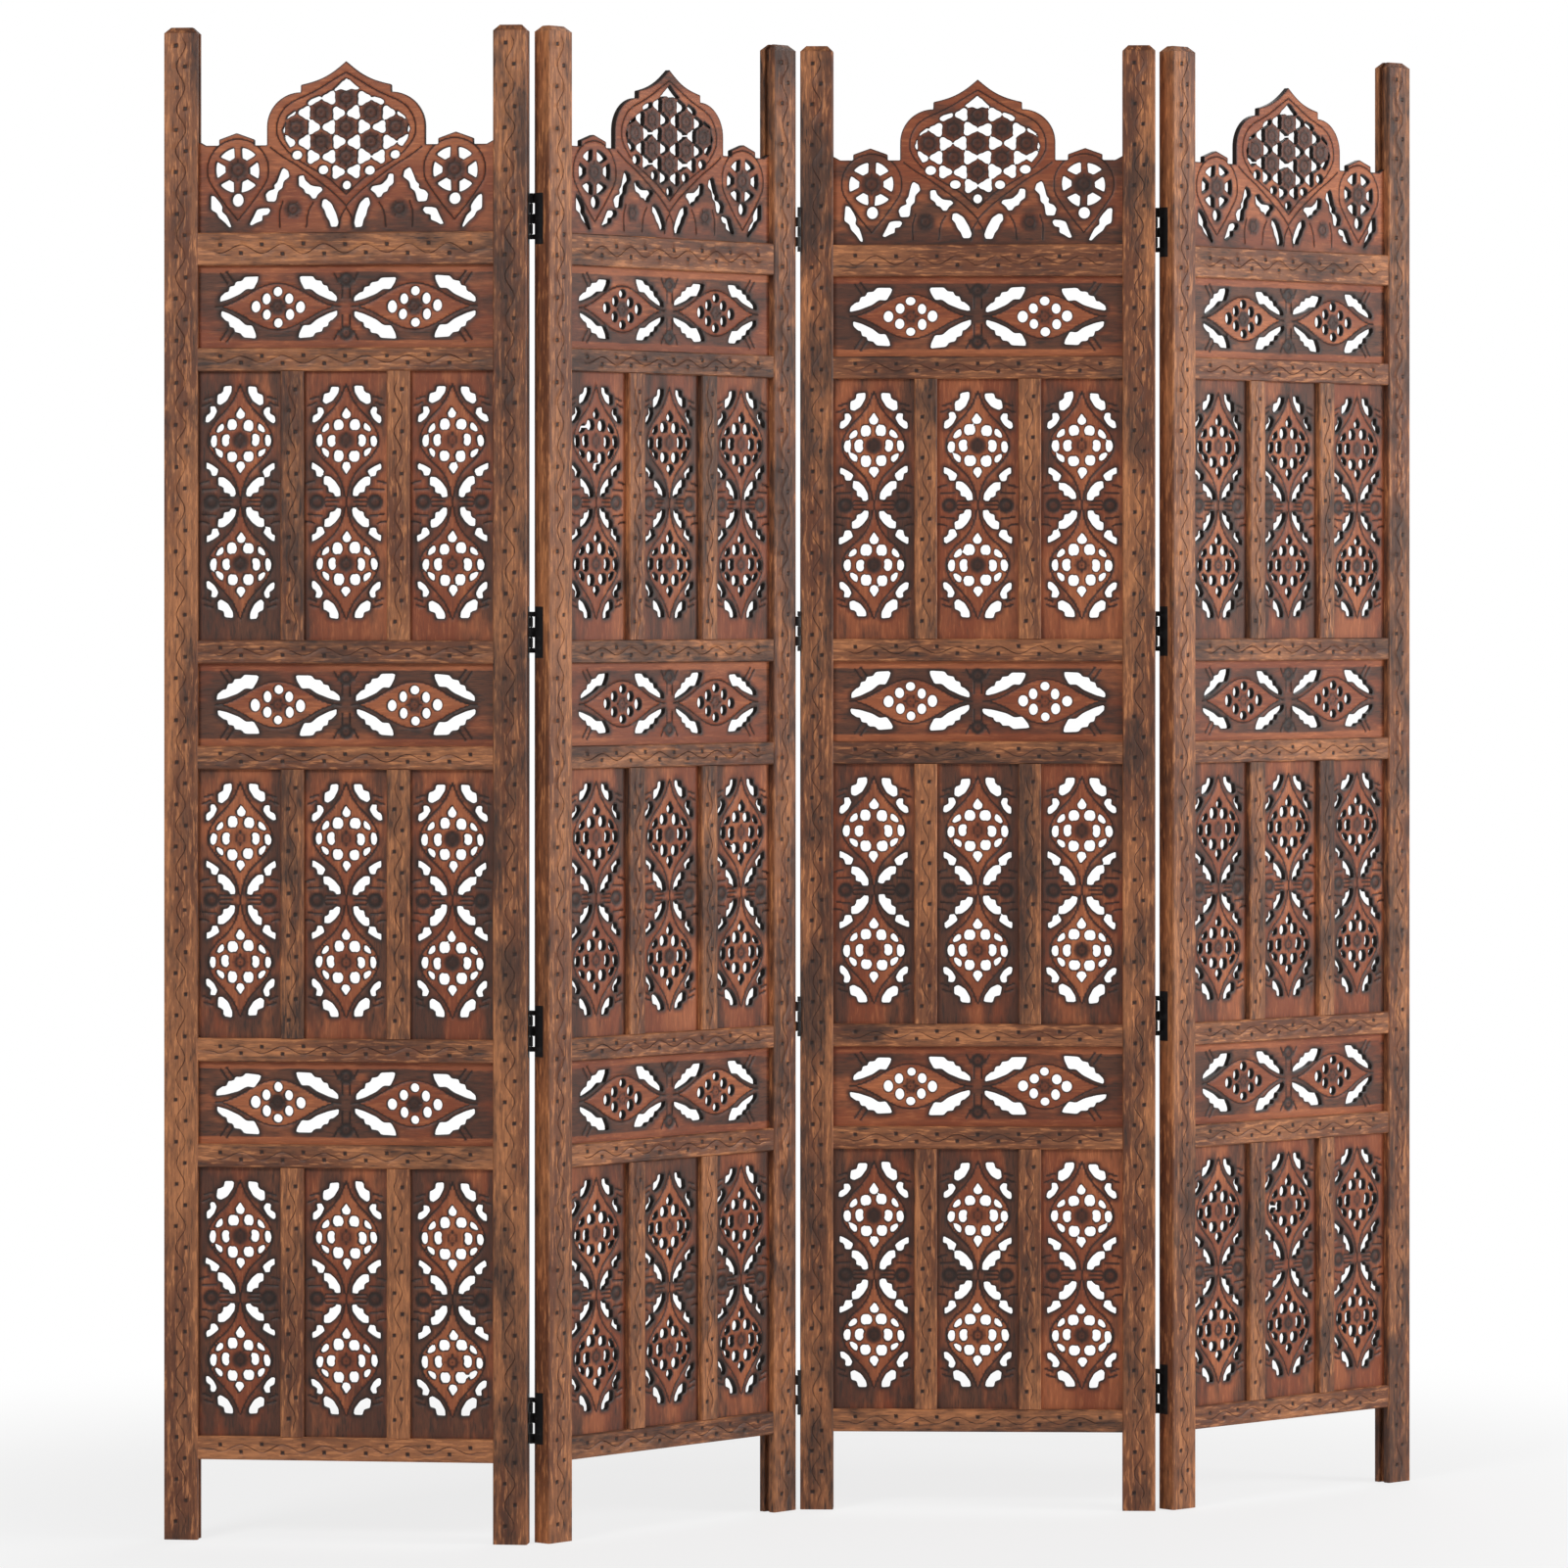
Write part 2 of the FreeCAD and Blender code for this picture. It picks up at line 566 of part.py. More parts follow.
add_panel_frames()
for panel in PANELS:
    add_post(panel, "left", BARREL_SIDES[panel - 2] if panel > 1 else None)
    add_post(panel, "right", BARREL_SIDES[panel - 1] if panel < len(PANELS) else None)
centre_screen()
for panel in PANELS:
    add_rails(panel)
    add_top_rail(panel)
    add_mullions(panel)
    add_crest_board(panel)
    add_frieze_boards(panel)
    for tier in TIERS:
        add_tall_boards(panel, tier)
for fold, side in enumerate(BARREL_SIDES, start=1):
    add_leaves(fold, fold, "left", side, LEFT_LEAF_ROWS)
    add_leaves(fold, fold + 1, "right", side, RIGHT_LEAF_ROWS)
doc.recompute()

for item in doc.Objects:
    if "Invalid" in item.State or "Error" in item.State:
        raise RuntimeError("%s did not build: %s" % (item.Name, item.State))
os.makedirs("parts", exist_ok=True)
for body in sub_parts:
    if body.Shape.isNull() or not body.Shape.isValid():
        raise RuntimeError("%s has no sound solid" % body.Label)
    body.Shape.exportStep("parts/%s.step" % body.Label)
for fold, side in enumerate(BARREL_SIDES, start=1):
    frame = doc.getObject("Panel_%d" % fold).Placement
    axis = frame.multVec(FreeCAD.Vector(amount_of("panel_width + hinge_panel_gap / 2"),
                                        amount_of(outwards(side, AXIS_OUT)), 0))
    print("fold %d turns about X %.4f Y %.4f" % (fold, axis.x, axis.y))
print("%d sub-parts of %d solids" % (len(sub_parts), sum(len(b.Shape.Solids) for b in sub_parts)))
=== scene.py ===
import math
from dataclasses import dataclass

import bpy
import numpy as np
from bpy.props import FloatProperty, FloatVectorProperty, PointerProperty
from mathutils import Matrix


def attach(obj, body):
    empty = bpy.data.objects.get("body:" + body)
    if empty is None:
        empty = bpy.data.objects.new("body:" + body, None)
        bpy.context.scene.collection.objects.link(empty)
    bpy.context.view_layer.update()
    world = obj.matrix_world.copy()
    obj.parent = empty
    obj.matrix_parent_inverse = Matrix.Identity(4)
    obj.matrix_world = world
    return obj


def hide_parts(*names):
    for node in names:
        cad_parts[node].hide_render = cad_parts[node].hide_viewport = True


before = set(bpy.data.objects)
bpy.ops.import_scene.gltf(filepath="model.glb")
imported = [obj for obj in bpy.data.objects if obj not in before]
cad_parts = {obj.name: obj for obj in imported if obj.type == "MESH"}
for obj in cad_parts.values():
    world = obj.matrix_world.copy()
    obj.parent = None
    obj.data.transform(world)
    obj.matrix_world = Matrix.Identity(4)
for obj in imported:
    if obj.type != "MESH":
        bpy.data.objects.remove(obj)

bl_info = {
    "name": "Carved folding screen",
    "version": (1, 0, 0),
    "blender": (4, 5, 0),
    "location": "View3D > Sidebar > Screen",
    "description": "Dresses a four-panel folding screen with pierced, carved and burnt wood",
    "category": "Add Mesh",
}

MM = 0.001
PANELS = (1, 2, 3, 4)
TIERS = (1, 2, 3)
FOLDS = (1, 2, 3)

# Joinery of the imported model
GROOVE_HALF = 3.6 * MM
GROOVE_DEPTH = 5 * MM
MORTISE_WIDTH = 14.1 * MM
MORTISE_DEPTH = 1.1 * MM
# Least gaps between the separate solids of a node and between the hinges of a fold
LEAST_GAP = MM / 20
HINGE_GAP = 40 * MM

# How far the boards reach into the rails
BOARD_REACH = 0.5 * MM
# Screws of a leaf: their heights as shares of its length, how far they stand out, and how much
# nearer to the barrel the middle one lies
SCREW_SHARES = (0.18, 0.5, 0.82)
SCREW_HEIGHT = 0.4 * MM
SCREW_STAGGER = 2 * MM
# Edges that are sharper than this stay sharp in the shading
SHARP_ANGLE = math.radians(32)


def ink(red, green, blue):
    """A colour given in steps of 0 to 255, as the linear values that a shader takes."""
    steps = np.array([red, green, blue]) / 255
    return tuple(np.where(steps <= 0.04045, steps / 12.92, ((steps + 0.055) / 1.055) ** 2.4))


def length(name, description, millimetres):
    """A length property in metres with its default given in millimetres."""
    return FloatProperty(name=name, description=description, default=millimetres * MM,
                         precision=5, subtype="DISTANCE", unit="LENGTH")


def colour(name, description, default):
    """A colour property."""
    return FloatVectorProperty(name=name, description=description, default=default, min=0, max=1,
                               size=3, subtype="COLOR")


class ScreenCarving(bpy.types.PropertyGroup):
    """Sizes of the carving."""
    board_grid: length("Board grid", "Spacing of the vertices on a tall board", 2.2)
    frieze_grid: length("Frieze grid", "Spacing of the vertices on a frieze board", 1.9)
    crest_grid: length("Crest grid", "Spacing of the vertices on a crest board", 1.6)
    line_depth: length("Line depth", "How deep the incised lines go", 0.9)
    line_width: length("Line width", "Half-width of an incised line", 1.2)
    cut_edge: length("Cut edge", "How much the edges of the piercing are rounded over", 0.5)
    stray: length("Stray", "How far a hand-cut hole strays from its place", 0.45)
    vine_pitch: length("Vine pitch", "Length of one wave of the vine", 46)
    vine_reach: length("Vine reach", "How far the vine swings to either side on a post", 5)
    rail_vine_reach: length("Rail vine reach", "How far the vine swings on rails and mullions", 4)
    vine_width: length("Vine width", "Half-width of the vine's cut", 0.9)
    vine_depth: length("Vine depth", "How deep the vine is cut", 0.6)
    berry_depth: length("Berry depth", "How deep the berries beside the vine are punched", 1.4)
    berry_radius: length("Berry radius", "Half the width of a berry", 2.8)
    screw_radius: length("Screw radius", "Half the width of a hinge screw's head", 2.6)
    arris: length("Arris", "Width of the broken edges of posts, rails and mullions", 1.2)
    crown: length("Crown", "Height of the chamfers on a post's top", 6.5)


class ScreenFinish(bpy.types.PropertyGroup):
    """Colours of the finishes."""
    frame_wood: colour("Frame wood", "Brown of posts, rails and mullions", ink(116, 67, 43))
    frame_streak: colour("Frame streak", "Tan flecks along the frame's grain", ink(204, 134, 86))
    board_wood: colour("Board wood", "Red-brown of the carved boards", ink(143, 72, 42))
    board_streak: colour("Board streak", "Scraped, lighter parts of the boards", ink(203, 122, 76))
    # This smoky colour is also what the painted shade on posts and on the tall boards' sides
    # darkens towards
    smoke_and_shade_tone: colour("Smoke", "Grey-brown of the smoked patches", ink(68, 46, 37))
    burnt: colour("Burnt", "Near black of burnt edges and carved lines", ink(40, 27, 22))
    hinge: colour("Hinge", "Black paint of the hinges", ink(34, 33, 34))


class ScreenStage(bpy.types.PropertyGroup):
    """The camera's lens and place."""
    lens: FloatProperty(name="Lens", description="Focal length in millimetres on a 36 mm sensor",
                        default=165.37, min=10)
    shift: FloatProperty(name="Shift", description="Vertical shift of the lens", default=-0.1174)
    camera_left: length("Camera left", "How far left of the middle the camera stands", 25.96)
    camera_distance: length("Camera distance", "From the camera to the middle plane", 8107.58)
    camera_height: length("Camera height", "Height of the lens over the floor", 1025.24)


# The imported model's places

def node_triangles(name):
    """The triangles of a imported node, as an array of corners."""
    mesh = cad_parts[name].data
    mesh.calc_loop_triangles()
    points = np.empty(len(mesh.vertices) * 3)
    mesh.vertices.foreach_get("co", points)
    corners = np.empty(len(mesh.loop_triangles) * 3, dtype=int)
    mesh.loop_triangles.foreach_get("vertices", corners)
    return points.reshape(-1, 3)[corners.reshape(-1, 3)]


def stretches(low, high, gap):
    """Groups of the indices whose stretches from low to high have no gap over this one between."""
    order = np.argsort(low)
    reach = np.maximum.accumulate(high[order])
    return np.split(order, np.flatnonzero(low[order][1:] > reach[:-1] + gap) + 1)


class Panel:
    """One panel's own directions: along it, through it towards the back, and up. Its origin lies
    at its left edge, on the floor, at half its depth."""

    def __init__(self, number):
        self.number = number
        self.body = "panel_%d" % number
        rail = node_triangles(self.body + "_top_rail").reshape(-1, 3)
        plan = np.unique(np.round(rail[:, :2], 6), axis=0)
        apart = plan - plan.mean(0)
        along = np.linalg.eigh(apart.T @ apart)[1][:, 1]
        along = along * np.sign(along[0])
        self.axes = np.array([[along[0], along[1], 0], [-along[1], along[0], 0], [0, 0, 1]])
        self.origin = np.zeros(3)
        low, high = self.solids("post_left")[0]
        self.origin = np.array([low[0], (low[1] + high[1]) / 2, 0])

    def world(self, points):
        """The panel's own points, in the world."""
        return (points + self.origin) @ self.axes

    def corners(self, name):
        """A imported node's triangles, in the panel's own directions."""
        return node_triangles(name) @ self.axes.T - self.origin

    def solids(self, node, *directions):
        """Lowest and highest corners of a node's separate solids, told apart by the gaps between
        their triangles along each of the directions in turn."""
        groups = [self.corners("%s_%s" % (self.body, node))]
        for way in directions:
            groups = [group[part] for group in groups for part in
                      stretches(group[..., way].min(1), group[..., way].max(1), LEAST_GAP)]
        return [(group.min((0, 1)), group.max((0, 1))) for group in groups]

    def hinges(self, hand):
        """The fold and leaves on the post at one hand, the heights where the leaves sit, and the
        side of their barrel: 1 for the back and -1 for the front. None if the post has none."""
        fold, leaf = (self.number - 1, "right") if hand == "left" else (self.number, "left")
        if fold not in FOLDS:
            return None
        name = "fold_%d_%s" % (fold, leaf)
        corners = self.corners(name + "_leaves")
        low, high = corners[..., 2].min(1), corners[..., 2].max(1)
        spans = [(low[part].min(), high[part].max()) for part in stretches(low, high, HINGE_GAP)]
        return name, np.array(spans), int(np.sign(corners[..., 1].mean()))


# Parts and pieces

@dataclass
class Part:
    """Points and faces; each point's place in the grain; how burnt it is, from -1 for bright, which
    is scraping and also the painted highlight on the frieze boards' edge strips, to 1 for charred;
    and how much more or less smoky than the rest, which also holds painted shade on posts and on
    the tall boards' sides."""
    points: np.ndarray
    faces: list
    grain: np.ndarray
    burnt: np.ndarray
    smoke_and_shade: np.ndarray


def join(parts):
    """Several parts as one."""
    starts = np.cumsum([0] + [len(part.points) for part in parts[:-1]])
    faces = [face + start for part, start in zip(parts, starts) for face in part.faces]
    points, grain, burnt, smoke_and_shade = (np.concatenate([getattr(part, key) for part in parts])
                                    for key in ("points", "grain", "burnt", "smoke_and_shade"))
    return Part(points, faces, grain, burnt, smoke_and_shade)


def make_piece(name, part, body, slot, replaced=()):
    """A mesh object from a part. It rides on a body and stands for the replaced nodes."""
    if not len(part.points):
        raise RuntimeError(name + " has no points")
    corners = np.concatenate([face.ravel() for face in part.faces])
    sizes = np.concatenate([np.full(len(face), face.shape[1]) for face in part.faces])
    mesh = bpy.data.meshes.new(name)
    mesh.vertices.add(len(part.points))
    mesh.vertices.foreach_set("co", part.points.astype(np.float32).ravel())
    mesh.loops.add(len(corners))
    mesh.loops.foreach_set("vertex_index", corners.astype(np.int32))
    mesh.polygons.add(len(sizes))
    mesh.polygons.foreach_set("loop_start", np.append(0, np.cumsum(sizes)[:-1]).astype(np.int32))
    mesh.update(calc_edges=True)
    mesh.shade_smooth()
    mesh.set_sharp_from_angle(angle=SHARP_ANGLE)
    grain = mesh.attributes.new("grain", "FLOAT_VECTOR", "POINT")
    grain.data.foreach_set("vector", part.grain.astype(np.float32).ravel())
    for key in ("burnt", "smoke_and_shade"):
        value = mesh.attributes.new(key, "FLOAT", "POINT")
        value.data.foreach_set("value", getattr(part, key).astype(np.float32))
    mesh.materials.append(material(slot))
    piece = bpy.data.objects.new(name, mesh)
    bpy.context.scene.collection.objects.link(piece)
    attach(piece, body)
    if replaced:
        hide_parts(*replaced)


def stand_in(panel, kind, node, part, slot):
    """A piece that stands for one of a panel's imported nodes."""
    make_piece("%s_%s_%s" % (panel.body, kind, node), part, panel.body, slot,
               ["%s_%s" % (panel.body, node)])


def grain_of(points, order, random):
    """A point's place along, across and through the plank, moved to a stretch of its own."""
    return points[:, order] + random.uniform(-20, 20, 3)


# Bars: posts, rails and mullions

# Where rows and columns meet a berry, in its radii, and rows beyond it, in waves of the vine
BERRY_STEPS = np.array([-1.0, -0.45, 0.45, 1.0])
ROWS_BETWEEN = np.array([-0.15, 0.15])
# Of a face's eleven columns: the bottom of the vine's cut and those inside a berry
VINE_BOTTOM = 5
LEFT_BERRY, RIGHT_BERRY = slice(1, 3), slice(8, 10)
COLUMN_GAP = 0.2 * MM
VINE_BURNT, BERRY_BURNT = 0.65, 0.75


def tube(rings, around):
    """The quads between rings of points, and the points' numbers ring by ring."""
    index = np.arange(rings * around).reshape(rings, around)
    turned = np.roll(index, -1, axis=1)
    quads = np.stack([index[:-1], turned[:-1], turned[1:], index[1:]], axis=2)
    return quads.reshape(-1, 4), index


def bar_rows(height, carving, extra):
    """Heights of a bar's sections, close together beside the berries, where the vine starts and
    how many half waves it has."""
    pitch = carving.vine_pitch
    halves = max(int(2 * height / pitch - 0.6), 1)
    start = (height - halves * pitch / 2) / 2
    crests = start + pitch * (0.25 + 0.5 * np.arange(halves))
    steps = np.concatenate([BERRY_STEPS * carving.berry_radius, ROWS_BETWEEN * pitch])
    rows = (crests[:, None] + steps).ravel()
    rows = rows[(rows > MM) & (rows < height - MM)]
    return np.unique(np.concatenate([[0, height], rows, extra])), start, halves


def carved_face(rows, start, halves, half, reach, carving, random):
    """Places across a face of the columns that follow the vine, how deep each is cut and how
    burnt it is.

    The three columns in the middle run along the vine, a V cut that swings as a sine; the four
    at either side meet the berries, punched in the hollows of the vine.
    """
    pitch, radius = carving.vine_pitch, carving.berry_radius
    phase = 2 * math.pi * (rows - start) / pitch
    to_end = np.minimum(rows - start, start + halves * pitch / 2 - rows)
    there = np.clip(to_end / pitch * 8, 0, 1)
    reach = reach * (1 + 0.12 * np.sin(phase * 0.31 + random.uniform(0, 6)))
    wave = reach * np.sin(phase) * there
    berry = 2 * reach[:, None] + radius * BERRY_STEPS
    vine = np.broadcast_to(carving.vine_width * np.array([-1, 0, 1]), (len(rows), 3))
    columns = wave[:, None] + np.concatenate([-berry[:, ::-1], vine, berry], axis=1)
    room = half - carving.arris
    least = np.arange(1, 12) * COLUMN_GAP
    columns = np.clip(columns, least - room, room - least[::-1])
    from_crest = np.abs((rows - start) / pitch % 0.5 - 0.25) * pitch
    punch = np.clip((radius - from_crest) / radius * 2, 0, 1) * there
    right = np.sin(phase) < 0
    punched = np.zeros_like(columns)
    punched[:, RIGHT_BERRY] = (punch * right)[:, None]
    punched[:, LEFT_BERRY] = (punch * ~right)[:, None]
    vine_cut = np.zeros_like(columns)
    vine_cut[:, VINE_BOTTOM] = there * random.uniform(0.6, 1.2, len(rows))
    depth = carving.vine_depth * vine_cut + carving.berry_depth * punched
    return columns, depth, VINE_BURNT * vine_cut + BERRY_BURNT * punched


def plain_flank(deep, arris):
    """A flank as places through the depth, insets and the stretches that an inset is held to."""
    return [(arris - deep, 0, None), (deep - arris, 0, None)]


def grooved_flank(deep, arris):
    """A flank with the groove that holds the boards."""
    return [(arris - deep, 0, None), (-GROOVE_HALF, 0, None), (-GROOVE_HALF, GROOVE_DEPTH, None),
            (GROOVE_HALF, GROOVE_DEPTH, None), (GROOVE_HALF, 0, None), (deep - arris, 0, None)]


def mortised_flank(deep, arris, spans, side):
    """A flank with mortises for hinge leaves, open to the back or, with side -1, to the front."""
    inner = deep - MORTISE_WIDTH
    flank = [(arris - deep, 0, None), (inner, 0, None), (inner, MORTISE_DEPTH, spans),
             (deep - arris, MORTISE_DEPTH, spans)]
    return flank if side > 0 else [(-place, inset, held) for place, inset, held in flank[::-1]]


def carved_bar(size, carving, reach, random, flanks, crown=0.0, smoke_and_shade=0.0):
    """A bar that stands on the origin, width along X and depth along Y, as one closed sheet.

    Every section is the same loop: the front's columns, the right flank, the back's columns and
    the left flank. The top is drawn in by the crown.
    """
    width, depth, height = size
    half, deep, arris = width / 2, depth / 2, carving.arris
    ends = [np.ravel(held) for flank in flanks for place, inset, held in flank if held is not None]
    ends = np.unique(np.concatenate(ends + [[height - crown]]))
    extra = np.concatenate([ends, ends - MM / 50])
    rows, start, halves = bar_rows(height, carving, extra[extra < height])
    sections, burns = [], []
    for hand, flank in zip((1, -1), flanks):
        columns, cut, burnt = carved_face(rows, start, halves, half, reach, carving, random)
        edge = np.full((len(rows), 1), half - arris)
        across = np.concatenate([-edge, columns, edge], axis=1)
        insets = np.array([inset for place, inset, held in flank]) * np.ones((len(rows), 1))
        for item, (place, inset, held) in enumerate(flank):
            if held is not None:
                within = (rows[:, None] >= held[:, 0]) & (rows[:, None] < held[:, 1])
                insets[:, item] *= within.any(1)
        through = np.array([place for place, inset, held in flank]) * np.ones((len(rows), 1))
        across = np.concatenate([across, half - insets], axis=1)
        through = np.concatenate([np.pad(cut, ((0, 0), (1, 1))) - deep, through], axis=1)
        sections.append(np.stack([across, through], axis=2) * hand)
        burns.append(np.pad(burnt, ((0, 0), (1, 1 + len(flank)))))
    section = np.concatenate(sections, axis=1)
    drawn = np.clip(rows - (height - crown), 0, None)[:, None]
    points = np.stack([section[..., 0] * (1 - drawn / half), section[..., 1] * (1 - drawn / deep),
                       np.broadcast_to(rows[:, None], section.shape[:2])], axis=2)
    quads, index = tube(*section.shape[:2])
    points = points.reshape(-1, 3)
    return Part(points, [quads, index[:1, ::-1], index[-1:]], grain_of(points, [2, 0, 1], random),
                np.concatenate(burns, axis=1).ravel(), np.full(len(points), smoke_and_shade))


def placed(part, panel, place, lying=False):
    """A part at its place in a panel. A bar that lies is turned from upright to along X."""
    points = part.points[:, [2, 1, 0]] * [1, 1, -1] if lying else part.points
    part.points = panel.world(points + np.asarray(place))
    return part


# Boards: what is cut through, and what is cut in

LINE_BURNT = 0.85
FRINGE_BURNT = 0.75
EDGE_BURNT = 1
# How near a line or an edge draws the grid's points to it, as shares of the grid's step
LINE_PULL, EDGE_PULL = 0.5, 0.2


def path_distance(points, path):
    """Distance from each point to a path, positive on its left."""
    start, run = path[:-1], path[1:] - path[:-1]
    reach = points[:, None] - start
    share = np.clip((reach * run).sum(2) / (run ** 2).sum(1), 0, 1)
    away = reach - share[..., None] * run
    distance = np.linalg.norm(away, axis=2)
    nearest = distance.argmin(1)
    pick = np.arange(len(points)), nearest
    side = run[nearest, 0] * away[pick][:, 1] - run[nearest, 1] * away[pick][:, 0]
    return np.where(side < 0, -distance[pick], distance[pick])


def inside_outline(points, outline):
    """Distance to a closed outline, positive inside it by the even-odd rule."""
    edge = np.abs(path_distance(points, np.concatenate([outline, outline[:1]])))
    start, end = outline, np.roll(outline, -1, axis=0)
    rise = np.where(end[:, 1] == start[:, 1], 1, end[:, 1] - start[:, 1])
    level = (start[:, 1] > points[:, 1:]) != (end[:, 1] > points[:, 1:])
    crossing = start[:, 0] + (points[:, 1:] - start[:, 1]) / rise * (end[:, 0] - start[:, 0])
    odd = (level & (points[:, :1] < crossing)).sum(1) % 2 == 1
    return np.where(odd, edge, -edge)


def nearest_line(points, paths):
    """Distance to the nearest of several paths, with its sign."""
    each = np.stack([path_distance(points, path) for path in paths])
    return np.take_along_axis(each, np.abs(each).argmin(0)[None], 0)[0]


def onto_line(points, field, nudge):
    """How far each point is moved to come onto the zero line of a field: the field over its
    slope, which is taken by differences. Where the field is level, the line is far off."""
    value = field(points)
    slope = np.stack([(field(points + way) - value) / nudge
                      for way in np.array([[nudge, 0], [0, nudge]])], axis=1)
    size = (slope ** 2).sum(1)
    return np.where(size[:, None] > 0.1, -(value / size.clip(0.1))[:, None] * slope, 1)


def pulled(points, field, limit, still, nudge):
    """Moves the points that lie within a limit of a field's zero line onto it, and says which
    they are."""
    away = onto_line(points, field, nudge)
    near = (np.abs(away).max(1) < limit) & ~still
    return np.where(near[:, None], points + away, points), near


def cut_out(points, triangles, state):
    """The part of a triangle mesh where the state isn't negative. A corner stays where its state
    is zero or more; an edge from a positive to a negative one gets a corner at the zero."""
    ends = np.stack([triangles, np.roll(triangles, -1, axis=1)], axis=2)
    crossed = state[ends[..., 0]] * state[ends[..., 1]] < 0
    pairs, number = np.unique(np.sort(ends[crossed], axis=1), axis=0, return_inverse=True)
    share = state[pairs[:, 0]] / (state[pairs[:, 0]] - state[pairs[:, 1]])
    fresh = points[pairs[:, 0]] + share[:, None] * (points[pairs[:, 1]] - points[pairs[:, 0]])
    corners = np.full((len(triangles), 3, 2), -1)
    corners[..., 0] = np.where(state[triangles] >= 0, triangles, -1)
    corners[..., 1][crossed] = len(points) + number.ravel()
    corners = corners.reshape(-1, 6)
    order = np.argsort(corners < 0, axis=1, kind="stable")
    corners = np.take_along_axis(corners, order, axis=1)
    wood = (state[triangles] > 0).any(1)
    count = (corners >= 0).sum(1)
    three, four = corners[wood & (count == 3)], corners[wood & (count == 4)]
    kept = np.concatenate([three[:, :3], four[:, :3], four[:, [0, 2, 3]]])
    points = np.concatenate([points, fresh])
    edge = np.zeros(len(points), dtype=bool)
    edge[:len(state)] = state == 0
    edge[len(state):] = True
    used, kept = np.unique(kept, return_inverse=True)
    return points[used], kept.reshape(-1, 3), edge[used]


def graded(half, fine, step):
    """Places from -half to half: a step apart as far as `fine`, three steps apart beyond it."""
    fine = min(fine, half)
    inner = np.linspace(-fine, fine, 2 * int(round(fine / step)) + 1)
    count = int(math.ceil((half - fine) / step / 3))
    outer = fine + (half - fine) * np.arange(1, count + 1) / max(count, 1)
    return np.concatenate([-outer[::-1], inner, outer])


def pierced_board(low, high, thickness, motif, step, carving, random, order):
    """A board between two corners of a panel, pierced and carved on both faces: a closed sheet.

    A grid covers the face. Its points nearest to an incised line move onto that line, and the
    cells there are halved along it. The mesh is then cut where the motif's wood ends. The back
    is the same sheet turned over, and a wall joins the two along all open edges.
    """
    middle = (np.array(low) + np.array(high)) / 2
    half = (np.array(high) - np.array(low)) / 2
    columns, rows = [graded(size, fine * MM, step) for size, fine in zip(half, motif.fine)]
    x, z = np.meshgrid(columns, rows, indexing="ij")
    grid = np.stack([x.ravel(), z.ravel()], axis=1)
    rim = np.zeros(x.shape, dtype=bool)
    rim[[0, -1]] = rim[:, [0, -1]] = True
    rim = rim.ravel()
    flat, on_line = pulled(grid, motif.lines, LINE_PULL * step, rim, step / 20)
    index = np.arange(len(grid)).reshape(x.shape)
    a, b, c, d = (index[i:i - 1 or None, j:j - 1 or None].ravel()
                  for i, j in ((0, 0), (1, 0), (1, 1), (0, 1)))
    rising = on_line[a] & on_line[c]
    falling = on_line[b] & on_line[d] & ~rising
    checker = (a // len(rows) + a % len(rows)) % 2 == 1
    turned = (falling | (checker & ~rising))[:, None]
    triangles = np.concatenate([np.where(turned, np.stack([a, b, d], 1), np.stack([a, b, c], 1)),
                                np.where(turned, np.stack([b, c, d], 1), np.stack([a, c, d], 1))])
    flat, on_edge = pulled(flat, motif.wood, EDGE_PULL * step, rim, step / 20)
    state = np.where(on_edge, 0, motif.wood(flat))
    flat, triangles, on_edge = cut_out(flat, triangles, state)
    edges = np.concatenate([triangles[:, [0, 1]], triangles[:, [1, 2]], triangles[:, [2, 0]]])
    key = np.sort(edges, axis=1) @ np.array([len(flat), 1])
    place, times = np.unique(key, return_index=True, return_counts=True)[1:]
    open_edges = edges[place[times == 1]]
    bare = np.clip(np.abs(motif.lines(flat)) / carving.line_width, 0, 1)
    relief, burnt, smoke_and_shade = motif.relief(flat)
    sunk = relief + carving.line_depth * (1 - bare)
    sunk = np.where(on_edge, np.maximum(sunk, carving.cut_edge), sunk)
    burnt = burnt + (LINE_BURNT - burnt) * (1 - bare)
    burnt = np.where(on_edge, EDGE_BURNT, burnt)
    flat = flat + middle
    front = np.stack([flat[:, 0], sunk - thickness / 2, flat[:, 1]], axis=1)
    points = np.concatenate([front, front * [1, -1, 1]])
    count = len(flat)
    walls = np.concatenate([open_edges[:, ::-1], open_edges + count], axis=1)
    return Part(points, [triangles, triangles[:, ::-1] + count, walls],
                grain_of(points, order, random), np.tile(burnt, 2), np.tile(smoke_and_shade, 2))


# Outlines of the piercing, in millimetres from the middle of a motif

QUARTERS = ((1, 1), (-1, 1), (1, -1), (-1, -1))
SIDES = ((1, 1), (-1, 1))
UP_AND_DOWN = ((1, 1), (1, -1))


def turned_over(outlines, ways):
    """Outlines turned over in each of the ways, which are signs of x and z."""
    return [np.array(outline) * way for outline in outlines for way in ways]


def both_halves(half):
    """A closed outline from its right half, which begins and ends on the axis."""
    half = np.array(half)
    return np.concatenate([half, half[-2:0:-1] * [-1, 1]])


def round_hole(x, z, half_width, half_height, lobe=0.0, turn=0.0):
    """A hole about a point as 18 corners: an ellipse whose radius swells thrice by the lobe."""
    angles = np.arange(18) * math.pi / 9
    swell = 1 + lobe * np.cos(3 * (angles - turn))
    return np.stack([x + half_width * swell * np.cos(angles),
                     z + half_height * swell * np.sin(angles)], axis=1)


def rounded(outline):
    """A closed outline with its corners cut at an eighth of each side."""
    after = np.roll(outline, -1, axis=0)
    return np.stack([outline * 7 + after, outline + after * 7], axis=1).reshape(-1, 2) / 8


